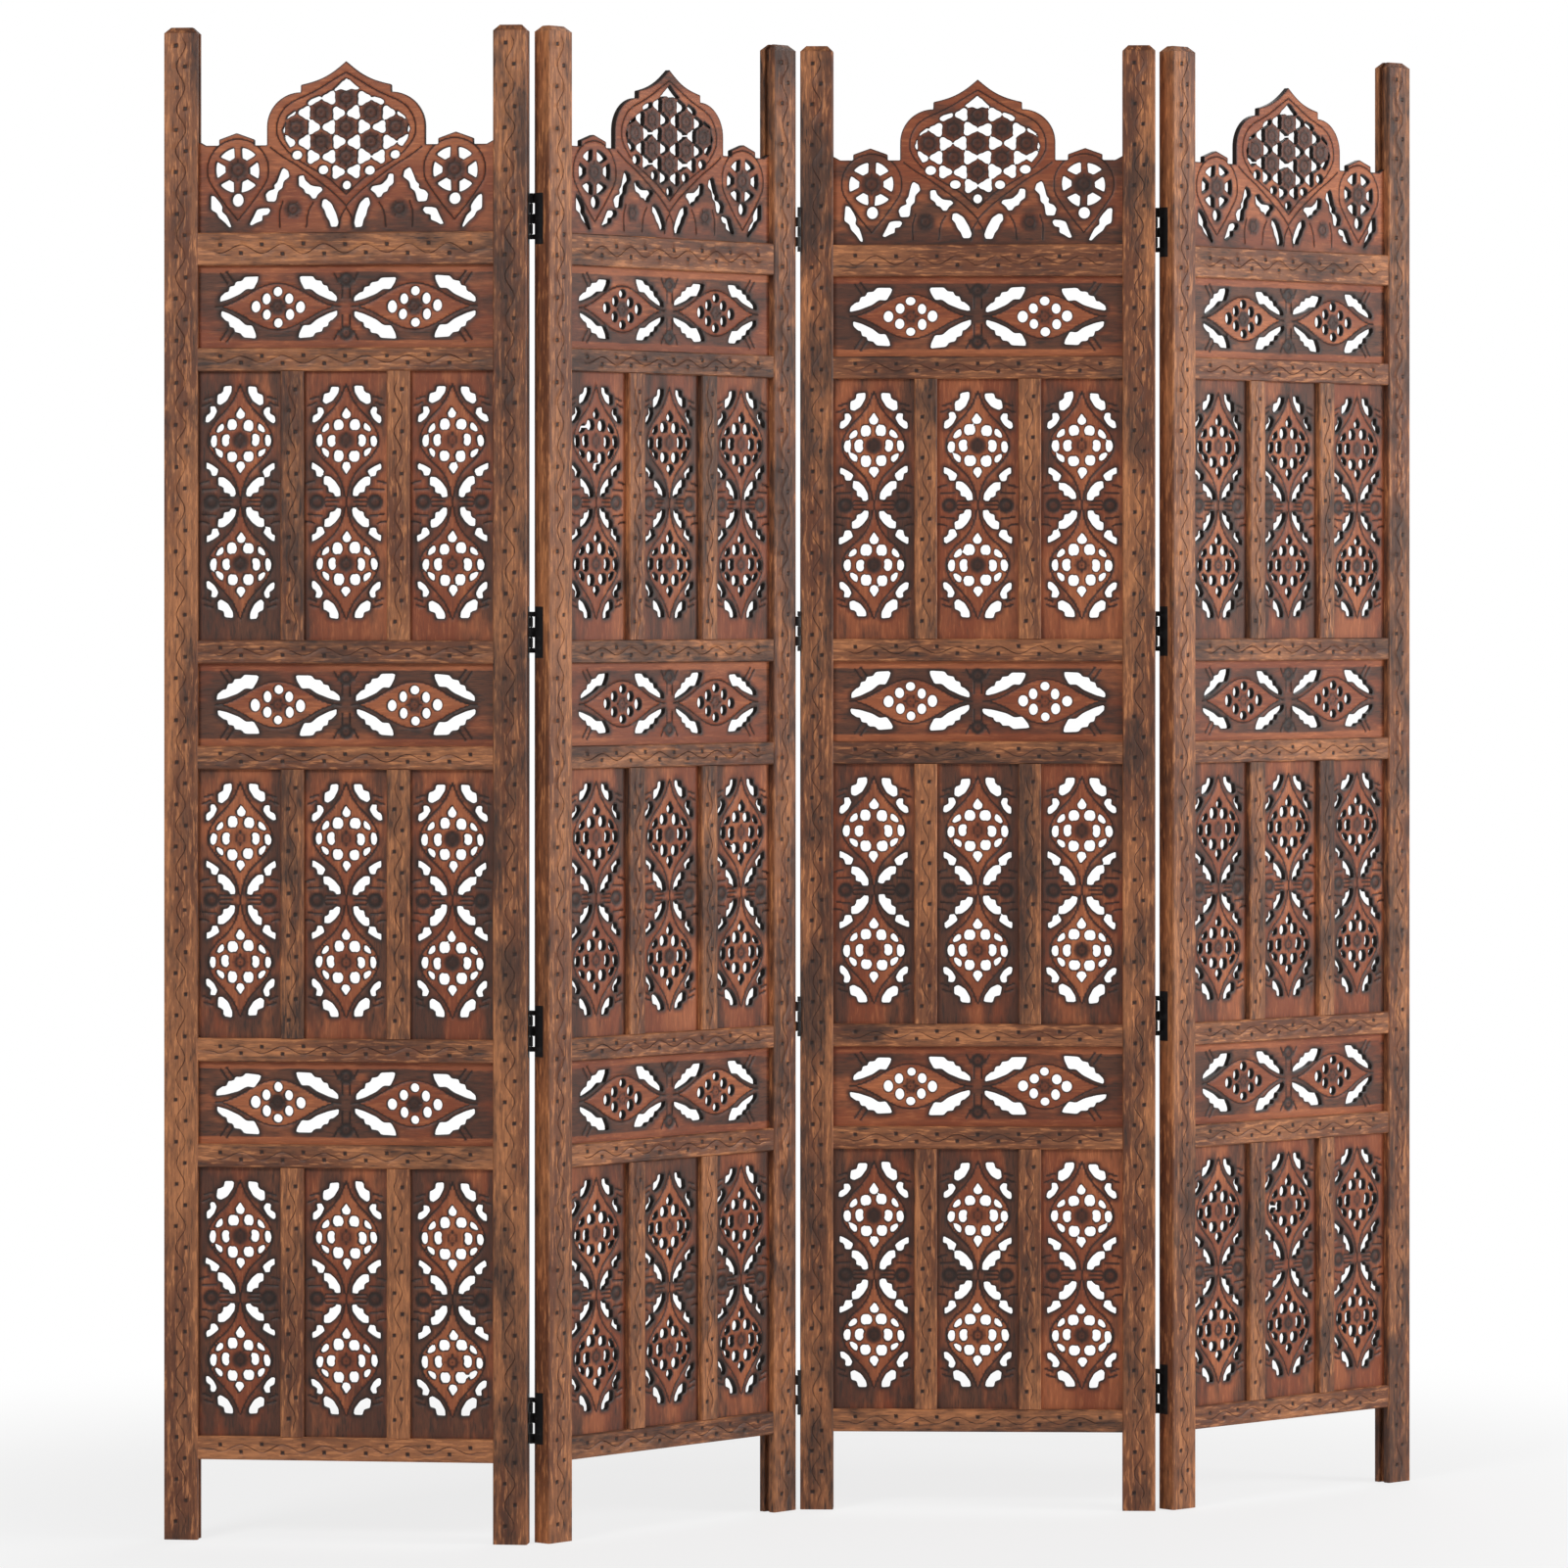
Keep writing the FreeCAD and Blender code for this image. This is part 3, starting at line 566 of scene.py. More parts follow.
def smooth(path):
    """An open path with its corners cut twice at a quarter of each side."""
    path = np.array(path, dtype=float)
    for times in range(2):
        start, end = path[:-1], path[1:]
        fresh = np.stack([start * 0.75 + end * 0.25, start * 0.25 + end * 0.75], axis=1)
        path = np.concatenate([path[:1], fresh.reshape(-1, 2), path[-1:]])
    return path


MEDALLION_RISE = 67.3
MEDALLION_CORNERS = [
    [(12.3, 22.8), (6.9, 23.1), (3.7, 20.5), (2.9, 15.6), (5.4, 11.4), (8.8, 11.7), (11.2, 10.9),
     (14.2, 12.8), (14.9, 16.7), (14.2, 20.5)],
    [(20, 19), (18.6, 15.1), (19.6, 11.6), (25.4, 8.6), (28, 9.7), (26.2, 14.4), (23.1, 17.6)],
]
MEDALLION_FLANKS = [
    [(17.7, 6.3), (13.8, 6.6), (12, 4), (12.9, 0.5), (12, -3.4), (14.6, -6.9), (18.6, -6.6),
     (20.9, -3.4), (21.3, 2), (20, 5.1)],
    [(32.4, 5.4), (27.3, 5.6), (26.2, 1.2), (27, -5.3), (30.5, -7.7), (33.4, -5.3), (34.4, -0.3)],
]
MEDALLION_DROP = [(0, 36.8), (3, 32.3), (5.4, 29), (3.6, 24.8), (0, 23.6)]
TALL_LEAVES = [
    [(8.5, 126.5), (18.5, 126), (19.6, 119.5), (25.8, 117.5), (26.5, 108.5), (22, 106.5),
     (14.5, 111), (9, 120)],
    [(25, 98.5), (27.5, 103.8), (33.5, 103.6), (32.6, 97), (38, 94), (38.6, 86.8), (34.5, 87),
     (29, 91.5)],
    [(23.5, 34.5), (30, 39.5), (38, 43.8), (38.4, 36.2), (33.8, 35), (32.6, 28.4), (26.5, 28)],
    [(6, 6.5), (6.8, 14), (12, 21.5), (18, 26.5), (25, 27), (25, 18.5), (20, 17), (19.4, 10.8),
     (14, 10), (12.5, 6)],
]
TALL_BAND = [(0.3, 128), (6.2, 112.5), (14.7, 101.2), (24, 91.8), (31.6, 81.7), (35.6, 72.4),
             (36, 63.3), (32.5, 55.5), (25.6, 46.5), (14.7, 37), (7.8, 27.7), (3.9, 18.4),
             (1.6, 9), (0.2, 0.5)]
TALL_STROKES = [[(9, 0.4), (23, 0.4)], [(10, 4.2), (22, 5)], [(27, 14.5), (42, 13.5)],
                [(30, 115), (40, 112)], [(32, 109), (41, 105)], [(35, 23), (43, 21)]]
EYE_MIDDLE, EYE_HALF_WIDTH, EYE_HEIGHT = 75.6, 69, 25.4
EYE_SLOT = [(67, 5.5), (66.5, 11), (60.5, 16), (57, 16.5), (55.5, 22), (50, 23), (48.5, 27.3),
            (41.5, 28), (38, 32.3), (21.2, 32.5), (22.5, 27), (27.4, 18.7), (35.3, 19.1),
            (43, 13.5), (56.5, 8)]
FRIEZE_STROKES = [[(4.5, 9), (4.5, 21)], [(139, 37), (131, 25)], [(132, 38), (124, 27)],
                  [(13, 36), (8, 26)]]
CREST_HALF = [(163, 100), (155, 95.5), (140.5, 95.5), (140.5, 102), (121, 109), (101.5, 102),
              (101.5, 95.5), (87.5, 95.5)]
# The crest's round field: how far its flowers stand apart across and up, how high its middle is,
# the radii and lobe of its holes, and how far inside the rim a hole has to reach to be cut
LATTICE = (27.5, 16.05)
LATTICE_MIDDLE = 114.5
LATTICE_HOLE = (6.9, 6.9, 0.22)
LATTICE_LEAST = 2.5
LATTICE_RIM = [(0, 170), (12, 158), (23, 151.5), (38.5, 146), (50, 137.5), (65, 126), (70.5, 112),
               (67, 101), (57, 87), (44, 79), (30, 65), (15, 55.5), (5, 49.5), (0, 43)]
SIDE_MEDALLION = (119.6, 68.5)
CREST_LEAVES = [
    [(150.4, 41.7), (145.7, 40.7), (140.2, 34.2), (137, 28.9), (137.5, 23.5), (132.6, 19.3),
     (129.4, 12.8), (126.8, 6.4), (129.4, 5.8), (134.8, 11.8), (141.3, 17.1), (143.9, 22.5),
     (150, 25.7)],
    [(70.7, 70.6), (65.2, 67.4), (63.5, 61), (69.6, 55.6), (70.7, 48.2), (75, 44.9), (77.2, 33.2),
     (87, 33.2), (89.1, 40.7), (85.9, 44.9), (79.4, 47.1), (80.4, 51.4), (77.2, 54.6), (75, 62.1),
     (72.8, 68.5)],
    [(106.5, 9.6), (102.2, 18.2), (98.9, 25.7), (93.5, 27.2), (85.9, 27.4), (84.1, 24.6),
     (87, 20.3), (92.4, 19.3), (92.4, 13.9), (97.8, 11.8), (103.3, 8.6)],
    [(53.9, 61), (47.8, 62.1), (45.7, 56.7), (39.1, 51.4), (28.3, 50.3), (26.1, 47.1), (31.5, 42.8),
     (33.7, 38.5), (38, 38.5), (41.3, 42.8), (45.7, 43.9), (47.8, 48.2), (53.3, 51.4)],
    [(27.2, 35.3), (22.8, 35.7), (16.3, 31), (10.9, 20.3), (8.3, 11.8), (9.8, 7.1), (17.4, 7.1),
     (19.6, 13.9), (22.8, 18.2), (25, 24.6), (28.3, 28.9)],
]
CHEVRON = [(0, 168), (5.4, 162.6), (11, 158.4), (10.9, 154.5), (5.4, 156), (0, 153.8)]
CREST_LINES = [
    [(83.7, 93.1), (69.6, 82.4), (54.4, 73.8), (37, 61), (19.6, 48.2), (6.5, 36.4), (0, 28.9)],
    [(0.2, 174.4), (13, 167), (30.4, 156), (45.7, 148.7), (58.7, 143.4), (68.5, 135.9),
     (75, 125.2), (77, 114.5), (76, 103.8), (65.2, 88.8), (50, 77), (37, 69.5), (19.6, 59.5),
     (10.9, 51.5), (0.2, 41.5)],
    [(0, 27), (6, 18), (8, 5)], [(44, 6), (42, 24), (36, 33)], [(73, 6), (74, 22), (70, 34)],
]


# A flower's ring and heart as shares of its radius, and the depths of its ground and its cuts
FLOWER_RING, RING_HALF_WIDTH, HEART = 0.55, 0.16, 0.18
FLOWER_GROUND, FLOWER_CUT = 0.15, 0.8


class Motif:
    """What is pierced, incised and burnt on one board, with the errors of a carver's hand. The
    wood is worked out no further than 6 mm from an edge, and meshed finely from the middle as far
    as `fine` says. All lengths are in millimetres."""
    far = 6.0

    def __init__(self, carving, random, half_height):
        self.origin = np.array([0, self.lift(half_height / MM)])
        self.holes = [self.by_hand(rounded(outline), carving.stray / MM, random)
                      for outline in self.outlines()]
        self.flower_char = random.uniform(0.2, 0.75)

    def lift(self, half_height):
        """How high the motif's own zero lies over the board's middle."""
        return 0.0

    def by_hand(self, outline, stray, random):
        """An outline a little shifted, turned and stretched about its own middle."""
        middle, turn = outline.mean(0), random.normal(0, 0.05)
        turned = np.array([[math.cos(turn), math.sin(turn)], [-math.sin(turn), math.cos(turn)]])
        return ((outline - middle) @ turned * random.normal(1.03, 0.04, 2) + middle
                + random.normal(0, stray, 2))

    def wood(self, points):
        """How far inside the wood each point lies."""
        points = points / MM - self.origin
        depth = np.full(len(points), -self.far)
        for hole in self.holes:
            low, high = hole.min(0) - self.far, hole.max(0) + self.far
            near = ((points > low) & (points < high)).all(1)
            depth[near] = np.maximum(depth[near], inside_outline(points[near], hole))
        return np.minimum(-depth, self.edge(points)) * MM

    def edge(self, points):
        """How far inside the board's own outline each point lies."""
        return np.full(len(points), self.far)

    def lines(self, points):
        """Distance to the nearest incised line."""
        return nearest_line(self.folded(points / MM - self.origin), self.paths) * MM

    def folded(self, points):
        """Points brought into the quarter that the paths are given for."""
        return np.abs(points)

    def relief(self, points):
        """How deep the flowers and bosses go, how burnt the wood is and how smoky, painted shade
        included.
        """
        wood = self.wood(points) / MM
        points = points / MM - self.origin
        depth, (burnt, smoke_and_shade) = np.zeros(len(points)), self.ground(points)
        fringe = np.clip(1 - wood / np.where(smoke_and_shade < 0, 2.8, self.far), 0, 1)
        burnt = burnt * (1 - fringe) + fringe * FRINGE_BURNT
        for x, z, radius, petals, char in self.flowers():
            across = points - np.array([x, z])
            far = np.linalg.norm(across, axis=1) / radius
            angle = np.arctan2(across[:, 1], across[:, 0])
            ring = np.clip(1 - np.abs(far - FLOWER_RING) / RING_HALF_WIDTH, 0, 1)
            parting = np.clip(1 - np.abs(np.sin(petals * angle / 2)) * far / 0.3, 0, 1)
            parting = parting * np.clip((far - 0.5) * 8, 0, 1)
            within = np.clip((1.08 - far) / 0.12, 0, 1)
            cut = np.maximum(np.maximum(ring, parting), np.clip(1 - far / HEART, 0, 1))
            depth = np.maximum(depth, within * (FLOWER_GROUND + FLOWER_CUT * cut))
            soft = np.clip((1.3 - far) / 0.45, 0, 1)
            burnt = np.maximum(burnt, soft * char + within * (LINE_BURNT - char) * cut)
        return depth * MM, burnt, smoke_and_shade


class TallMotif(Motif):
    """Two medallions, one over the other, in a band that crosses itself between them."""
    fine = (44, 134)
    paths = [smooth(TALL_BAND)] + [np.array(stroke) for stroke in TALL_STROKES]

    def lift(self, half_height):
        return 4.0

    def outlines(self):
        medallion = (turned_over(MEDALLION_CORNERS, QUARTERS) + turned_over(MEDALLION_FLANKS, SIDES)
                     + turned_over([both_halves(MEDALLION_DROP)], UP_AND_DOWN))
        return turned_over(TALL_LEAVES, QUARTERS) + [outline + [0, way * MEDALLION_RISE]
                                                     for way in (1, -1) for outline in medallion]

    def flowers(self):
        roses = [(0, way * MEDALLION_RISE, 9, 8, self.flower_char) for way in (1, -1)]
        return roses + [(way * 32, 0, 8.6, 0, 0.55) for way in (1, -1)]

    def ground(self, points):
        """Scraped within the band; smokier outside it, and darker still towards the sides as
        painted shade of the recess where the board sits between posts and mullions.
        """
        quarter = np.abs(points)
        band = self.paths[0][::-1]
        inside = quarter[:, 0] < np.interp(quarter[:, 1], band[:, 1], band[:, 0], right=-1)
        # Painted shade: the smoky value rises towards the board's sides, where it sits in the
        # recess by the posts and mullions
        return (np.where(inside, -0.55, 0.05),
                np.where(inside, -0.12, 0.03 + 0.1 * np.clip(quarter[:, 0] / 40, 0, 1) ** 2))


def eye_height(across):
    """Half the height of an eye at a distance from its middle."""
    return EYE_HEIGHT * (1 + np.cos(np.pi * across / EYE_HALF_WIDTH)) / 2


class FriezeMotif(Motif):
    """Two eyes side by side, each with a flower and four slots, and a stem between them."""
    fine = (150, 44)
    lid = np.linspace(-EYE_HALF_WIDTH, EYE_HALF_WIDTH, 45)
    paths = [np.stack([lid + EYE_MIDDLE, eye_height(lid)], axis=1)]
    paths += [np.array(stroke) for stroke in FRIEZE_STROKES]

    def outlines(self):
        eye = (turned_over([EYE_SLOT, round_hole(12.5, 8.6, 4.8, 5.8)], QUARTERS)
               + turned_over([round_hole(25, 0, 5.4, 6.4)], SIDES)
               + turned_over([round_hole(0, 17, 5, 4.8)], UP_AND_DOWN))
        return [outline + [way * EYE_MIDDLE, 0] for way in (1, -1) for outline in eye]

    def flowers(self):
        return ([(way * EYE_MIDDLE, 0, 9.2, 6, self.flower_char) for way in (1, -1)]
                + [(0, way * 29, 8, 0, 0.5) for way in (1, -1)])

    def ground(self, points):
        """Scraped within the eyes, lighter along the top and bottom edges as a painted highlight of
        the border catching light, smokier between.
        """
        lid = np.abs(np.abs(points[:, 0]) - EYE_MIDDLE)
        inside = eye_height(np.minimum(lid, EYE_HALF_WIDTH))
        # Painted highlight: the strips along the top and bottom edges, beyond 38 mm from the
        # middle, are made bright and less smoky
        scraped_and_highlit = (np.abs(points[:, 1]) < inside) | (np.abs(points[:, 1]) > 38)
        return np.where(scraped_and_highlit, -0.75, 0.1), np.where(scraped_and_highlit, -0.15, 0.1)


def drop_line():
    """A line round a side medallion, from its middle, that runs to a point below."""
    turns = np.radians(np.linspace(-25, 205, 24))
    arc = np.stack([34 * np.cos(turns), 34 * np.sin(turns)], axis=1)
    return np.concatenate([[(0, -55), (14, -38)], arc, [(-14, -38), (0, -55)]])


def crest_outline():
    """The crest's outline: the straight parts, the lobe's quarter circle and the ogee."""
    turns = np.radians(np.linspace(0, 90, 16))
    lobe = np.stack([50 + 37.5 * np.cos(turns), 115.5 + 37.5 * np.sin(turns)], axis=1)
    share = np.linspace(0, 1, 14)
    sag = 4 * np.sin(np.pi * share)
    ogee = np.stack([50 * (1 - share) - 0.45 * sag, 161 + 25.5 * share - sag], axis=1)
    right = np.concatenate([[(200, -5), (200, 100)], CREST_HALF, lobe, ogee])
    return np.concatenate([right, right[-2::-1] * [-1, 1]])


class CrestMotif(Motif):
    """A round field of flowers under an ogee, and a medallion below each gable."""
    fine = (400, 400)
    paths = [smooth(path) for path in CREST_LINES + [drop_line() + SIDE_MEDALLION]]
    outline = crest_outline()

    def lift(self, half_height):
        return -half_height

    def roses(self):
        """Places of the nine flowers of the round field."""
        across, up = LATTICE
        return [(column * across, LATTICE_MIDDLE + row * up) for column in range(-2, 3)
                for row in ((0,), (-1, 1), (-2, 0, 2))[2 - abs(column)]]

    def lattice(self):
        """Three-lobed holes round the nine flowers, held within the rim of the field."""
        across, up = LATTICE
        found = {}
        for x, z in self.roses():
            for turn in np.radians(np.arange(0, 360, 60)):
                place = (x + 2 / 3 * across * math.cos(turn), z + 2 / 3 * across * math.sin(turn))
                hole = round_hole(*place, *LATTICE_HOLE, turn)
                found[round(place[0]), round(place[1] / 2)] = hole
        rim = both_halves(LATTICE_RIM)
        held = []
        for hole in found.values():
            outside = inside_outline(hole, rim) < 0
            away = onto_line(hole, lambda points: inside_outline(points, rim), 0.05)
            held.append(np.where(outside[:, None], hole + away, hole))
        return [hole for hole in held if inside_outline(hole, rim).max() > LATTICE_LEAST]

    def petal(self, turn):
        """A sector of a ring, with its two inner corners cut."""
        turns = np.radians(np.linspace(39, 81, 6)) + turn
        turns = np.concatenate([turns, turns[4:0:-1]])
        radius = np.repeat([24.6, 13.6], [6, 4])
        return np.stack([radius * np.cos(turns), radius * np.sin(turns)], axis=1)

    def outlines(self):
        x, z = SIDE_MEDALLION
        ring = [self.petal(turn) + [x, z] for turn in np.radians(np.arange(0, 360, 60))]
        sides = ring + [round_hole(x, 36, 6.2, 6.8)] + CREST_LEAVES
        small = turned_over([round_hole(25.5, 68, 5.6, 4.8), round_hole(53.5, 84.5, 5.8, 5)], SIDES)
        return (self.lattice() + small + turned_over(sides, SIDES)
                + [both_halves(CHEVRON), round_hole(0, 51.6, 4.8, 5)])

    def edge(self, points):
        """How far inside the board's upper edge each point lies."""
        upper = points[:, 1] > 88
        depth = np.full(len(points), self.far)
        depth[upper] = inside_outline(points[upper], self.outline)
        return depth

    def folded(self, points):
        return np.stack([np.abs(points[:, 0]), points[:, 1]], axis=1)

    def flowers(self):
        roses = [(x, z, 11.6, 8, 0.6) for x, z in self.roses()]
        x, z = SIDE_MEDALLION
        roses += [(way * x, z, 12.4, 8, 0.6) for way in (1, -1)]
        return roses + [(way * 58.7, 25.7, 10, 6, 0.6) for way in (1, -1)]

    def ground(self, points):
        """Scraped above, smokier towards the foot."""
        low = np.clip(1 - points[:, 1] / 75, 0, 1)
        return -0.25 + 0.4 * low, -0.02 + 0.12 * low


# Finishes

def shader(tree, kind, inputs=(), **settings):
    """A shader node with its settings, and its inputs linked to sockets or set to values."""
    made = tree.nodes.new("ShaderNode" + kind)
    for name, value in settings.items():
        setattr(made, name, value)
    for key, value in dict(inputs).items():
        if isinstance(value, bpy.types.NodeSocket):
            tree.links.new(value, made.inputs[key])
        else:
            made.inputs[key].default_value = value
    return made


def spread(tree, value, low, high):
    """A value spread from low..high to 0..1, held at the ends."""
    inputs = {"Value": value, "From Min": low, "From Max": high}
    return shader(tree, "MapRange", inputs, interpolation_type="SMOOTHSTEP").outputs["Result"]


def blend(tree, share, first, second):
    """Two colours blended by a share."""
    mix = shader(tree, "Mix", data_type="RGBA")
    for socket, value in zip([mix.inputs[i] for i in (0, 6, 7)], (share, first, second)):
        if isinstance(value, bpy.types.NodeSocket):
            tree.links.new(value, socket)
        else:
            socket.default_value = value
    return mix.outputs[2]


def weighted(tree, *parts):
    """The sum of values, each with its weight, held between 0 and 1."""
    total = 0.0
    for value, weight in parts:
        total = shader(tree, "Math", {0: value, 1: weight, 2: total}, operation="MULTIPLY_ADD",
                       use_clamp=True).outputs[0]
    return total


def noise(tree, vector, scale, detail=3.0, roughness=0.5):
    """Noise over a vector, with its own scale along each axis."""
    moved = shader(tree, "VectorMath", {0: vector, 1: scale}, operation="MULTIPLY")
    inputs = {"Vector": moved.outputs[0], "Scale": 1.0, "Detail": detail, "Roughness": roughness}
    return shader(tree, "TexNoise", inputs).outputs["Fac"]


def wood_group():
    """Smoked wood: streaks and pores along the grain, smoky patches, and burning from the mesh's
    own attributes, which also carry painted shade and a painted highlight. It gives colour,
    roughness and a height for the bump."""
    tree = bpy.data.node_groups.new("smoked_wood", "ShaderNodeTree")
    for way, kind, names in (("INPUT", "Color", ("Wood", "Streak", "Smoke", "Burnt")),
                             ("INPUT", "Float", ("Figure",)), ("OUTPUT", "Color", ("Colour",)),
                             ("OUTPUT", "Float", ("Roughness", "Height"))):
        for name in names:
            tree.interface.new_socket(name, in_out=way, socket_type="NodeSocket" + kind)
    given = tree.nodes.new("NodeGroupInput").outputs
    result = tree.nodes.new("NodeGroupOutput").inputs
    grain, burnt, smoke_and_shade = (shader(tree, "Attribute", attribute_name=name).outputs[output]
                            for name, output in (("grain", "Vector"), ("burnt", "Fac"),
                                                 ("smoke_and_shade", "Fac")))
    tone = noise(tree, grain, (4, 16, 16), 2)
    streaks = noise(tree, grain, (6, 120, 120), 4, 0.6)
    flecks = noise(tree, grain, (45, 300, 300), 3, 0.6)
    patches = noise(tree, grain, (9, 26, 26), 4, 0.65)
    pores = noise(tree, grain, (60, 900, 900), 2)
    # The bright end of burnt: scraping, and the painted highlight on the frieze boards' edge strips
    scraped_and_highlight = shader(tree, "Math", {0: burnt, 1: -1.0}, operation="MULTIPLY").outputs[0]
    figure = given["Figure"]
    fibres = weighted(tree, (spread(tree, streaks, 0.45, 0.7), 0.35),
                      (spread(tree, flecks, 0.52, 0.66), 0.7))
    light = weighted(tree, (fibres, figure), (spread(tree, tone, 0.42, 0.64), 0.5), (scraped_and_highlight, 0.9))
    colour_now = blend(tree, light, given["Wood"], given["Streak"])
    # Smoky patches plus the per-point value, which includes painted shade on posts and tall boards'
    # sides
    smoke_and_shade_tone = shader(tree, "Math", {0: patches, 1: smoke_and_shade}, operation="ADD").outputs[0]
    specks = weighted(tree, (spread(tree, flecks, 0.46, 0.3), 0.5),
                      (spread(tree, pores, 0.56, 0.75), 0.5))
    dark = weighted(tree, (spread(tree, smoke_and_shade_tone, 0.46, 0.7), 0.8), (specks, figure))
    colour_now = blend(tree, dark, colour_now, given["Smoke"])
    colour_now = blend(tree, spread(tree, burnt, 0.05, 0.95), colour_now, given["Burnt"])
    rough = shader(tree, "MapRange", {"Value": patches, "To Min": 0.42, "To Max": 0.62})
    height = shader(tree, "Math", {0: streaks, 1: pores}, operation="ADD").outputs[0]
    for name, value in (("Colour", colour_now), ("Roughness", rough.outputs["Result"]),
                        ("Height", height)):
        tree.links.new(value, result[name])
    return tree


def surface(name):
    """A new material's tree and its Principled node."""
    made = bpy.data.materials.new(name)
    made.use_nodes = True
    return made.node_tree, made.node_tree.nodes["Principled BSDF"]


def wood_material(name, finish, wood, streak, figure):
    """Smoked wood in one pair of colours, its fibres shown as far as the figure says."""
    tree, principled = surface(name)
    group = tree.nodes.new("ShaderNodeGroup")
    group.node_tree = bpy.data.node_groups.get("smoked_wood") or wood_group()
    for key, value in (("Wood", wood), ("Streak", streak), ("Smoke", finish.smoke_and_shade_tone),
                       ("Burnt", finish.burnt)):
        group.inputs[key].default_value = (*value, 1)
    group.inputs["Figure"].default_value = figure
    bump = shader(tree, "Bump", {"Height": group.outputs["Height"], "Distance": 0.4 * MM,
                                 "Strength": 0.5})
    for name, value in (("Base Color", group.outputs["Colour"]), ("Normal", bump.outputs["Normal"]),
                        ("Roughness", group.outputs["Roughness"])):
        tree.links.new(value, principled.inputs[name])


def paint_material(name, finish):
    """Black paint, worn to grey in places."""
    tree, principled = surface(name)
    place = shader(tree, "TexCoord").outputs["Object"]
    worn = spread(tree, noise(tree, place, (90, 90, 90), 3), 0.5, 0.8)
    grey = [min(part * 2.6, 1) for part in finish.hinge]
    colour_now = blend(tree, worn, (*finish.hinge, 1), (*grey, 1))
    tree.links.new(colour_now, principled.inputs["Base Color"])
    principled.inputs["Roughness"].default_value = 0.38


def material(slot):
    """The finish of a slot, made when it is first asked for."""
    name = "smoked_" + slot
    if name not in bpy.data.materials:
        finish = bpy.context.scene.screen_finish
        if slot == "frame_wood":
            wood_material(name, finish, finish.frame_wood, finish.frame_streak, 1.1)
        elif slot == "board_wood":
            wood_material(name, finish, finish.board_wood, finish.board_streak, 0.5)
        else:
            paint_material(name, finish)
    return bpy.data.materials[name]


def dress(node, slot):
    """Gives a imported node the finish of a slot."""
    node.data.materials.clear()
    node.data.materials.append(material(slot))


# Operators, one for each group of like pieces

class CarvingOperator:
    """What the operators share: they go through the panels with the carving's sizes. Each plank
    has random numbers of its own, which are always the same."""
    bl_options = {"REGISTER", "UNDO"}

    def execute(self, context):
        for number in PANELS:
            self.build(Panel(number), context.scene.screen_carving)
        return {"FINISHED"}


# How much darker or lighter each post is made, as the photograph shows it: partly each post's own
# smoky tone, partly painted shade that lightens the left-hand posts and darkens the right-hand
# posts of panels 1, 2 and 4
POSTS_SMOKE_AND_SHADE = {(1, "left"): -0.05, (1, "right"): 0.07, (2, "left"): -0.08, (2, "right"): 0.06,
                (3, "left"): 0.06, (3, "right"): 0.0, (4, "left"): -0.04, (4, "right"): 0.05}


class SCREEN_OT_posts(CarvingOperator, bpy.types.Operator):
    """The eight posts, grooved for the boards and mortised for the hinges"""
    bl_idname = "screen.posts"
    bl_label = "Posts"

    def build(self, panel, carving):
        for hand, way in (("left", -1), ("right", 1)):
            low, high = panel.solids("post_" + hand)[0]
            deep = (high[1] - low[1]) / 2
            outer = plain_flank(deep, carving.arris)
            hinges = panel.hinges(hand)
            if hinges:
                spans, side = hinges[1:]
                outer = mortised_flank(deep, carving.arris, spans - low[2], side * way)
            flanks = (outer, grooved_flank(deep, carving.arris))[::way]
            random = np.random.default_rng(panel.number * 10 + (hand == "left"))
            part = carved_bar(high - low, carving, carving.vine_reach, random, flanks,
                              carving.crown, POSTS_SMOKE_AND_SHADE[panel.number, hand])
            part = placed(part, panel, (*((low + high) / 2)[:2], low[2]))
            stand_in(panel, "carved", "post_" + hand, part, "frame_wood")


class SCREEN_OT_rails(CarvingOperator, bpy.types.Operator):
    """The rails between the posts, with the vine along them"""
    bl_idname = "screen.rails"
    bl_label = "Rails"

    def build(self, panel, carving):
        left, right = panel.solids("post_left")[0][1][0], panel.solids("post_right")[0][0][0]
        for node, directions, reach in (("rails", (2,), carving.rail_vine_reach),
                                        ("top_rail", (), carving.vine_reach)):
            parts = []
            for low, high in panel.solids(node, *directions):
                random = np.random.default_rng(int(panel.number * 1000 + low[2] * 100))
                size = (high[2] - low[2], high[1] - low[1], right - left)
                flank = plain_flank(size[1] / 2, carving.arris)
                part = carved_bar(size, carving, reach, random, (flank, flank),
                                  smoke_and_shade=random.uniform(-0.08, 0.08))
                place = (left, (low[1] + high[1]) / 2, (low[2] + high[2]) / 2)
                parts.append(placed(part, panel, place, lying=True))
            stand_in(panel, "carved", node, join(parts), "frame_wood")


class SCREEN_OT_mullions(CarvingOperator, bpy.types.Operator):
    """The mullions between the tall boards, grooved on both flanks"""
    bl_idname = "screen.mullions"
    bl_label = "Mullions"

    def build(self, panel, carving):
        parts = []
        for low, high in panel.solids("mullions", 2, 0):
            seed = int(panel.number * 1e4 + low[2] * 1e3 + low[0] * 100)
            random = np.random.default_rng(seed)
            flank = grooved_flank((high[1] - low[1]) / 2, carving.arris)
            part = carved_bar(high - low, carving, carving.rail_vine_reach, random,
                              (flank, flank), smoke_and_shade=random.uniform(-0.1, 0.1))
            parts.append(placed(part, panel, (*((low + high) / 2)[:2], low[2])))
        stand_in(panel, "carved", "mullions", join(parts), "frame_wood")


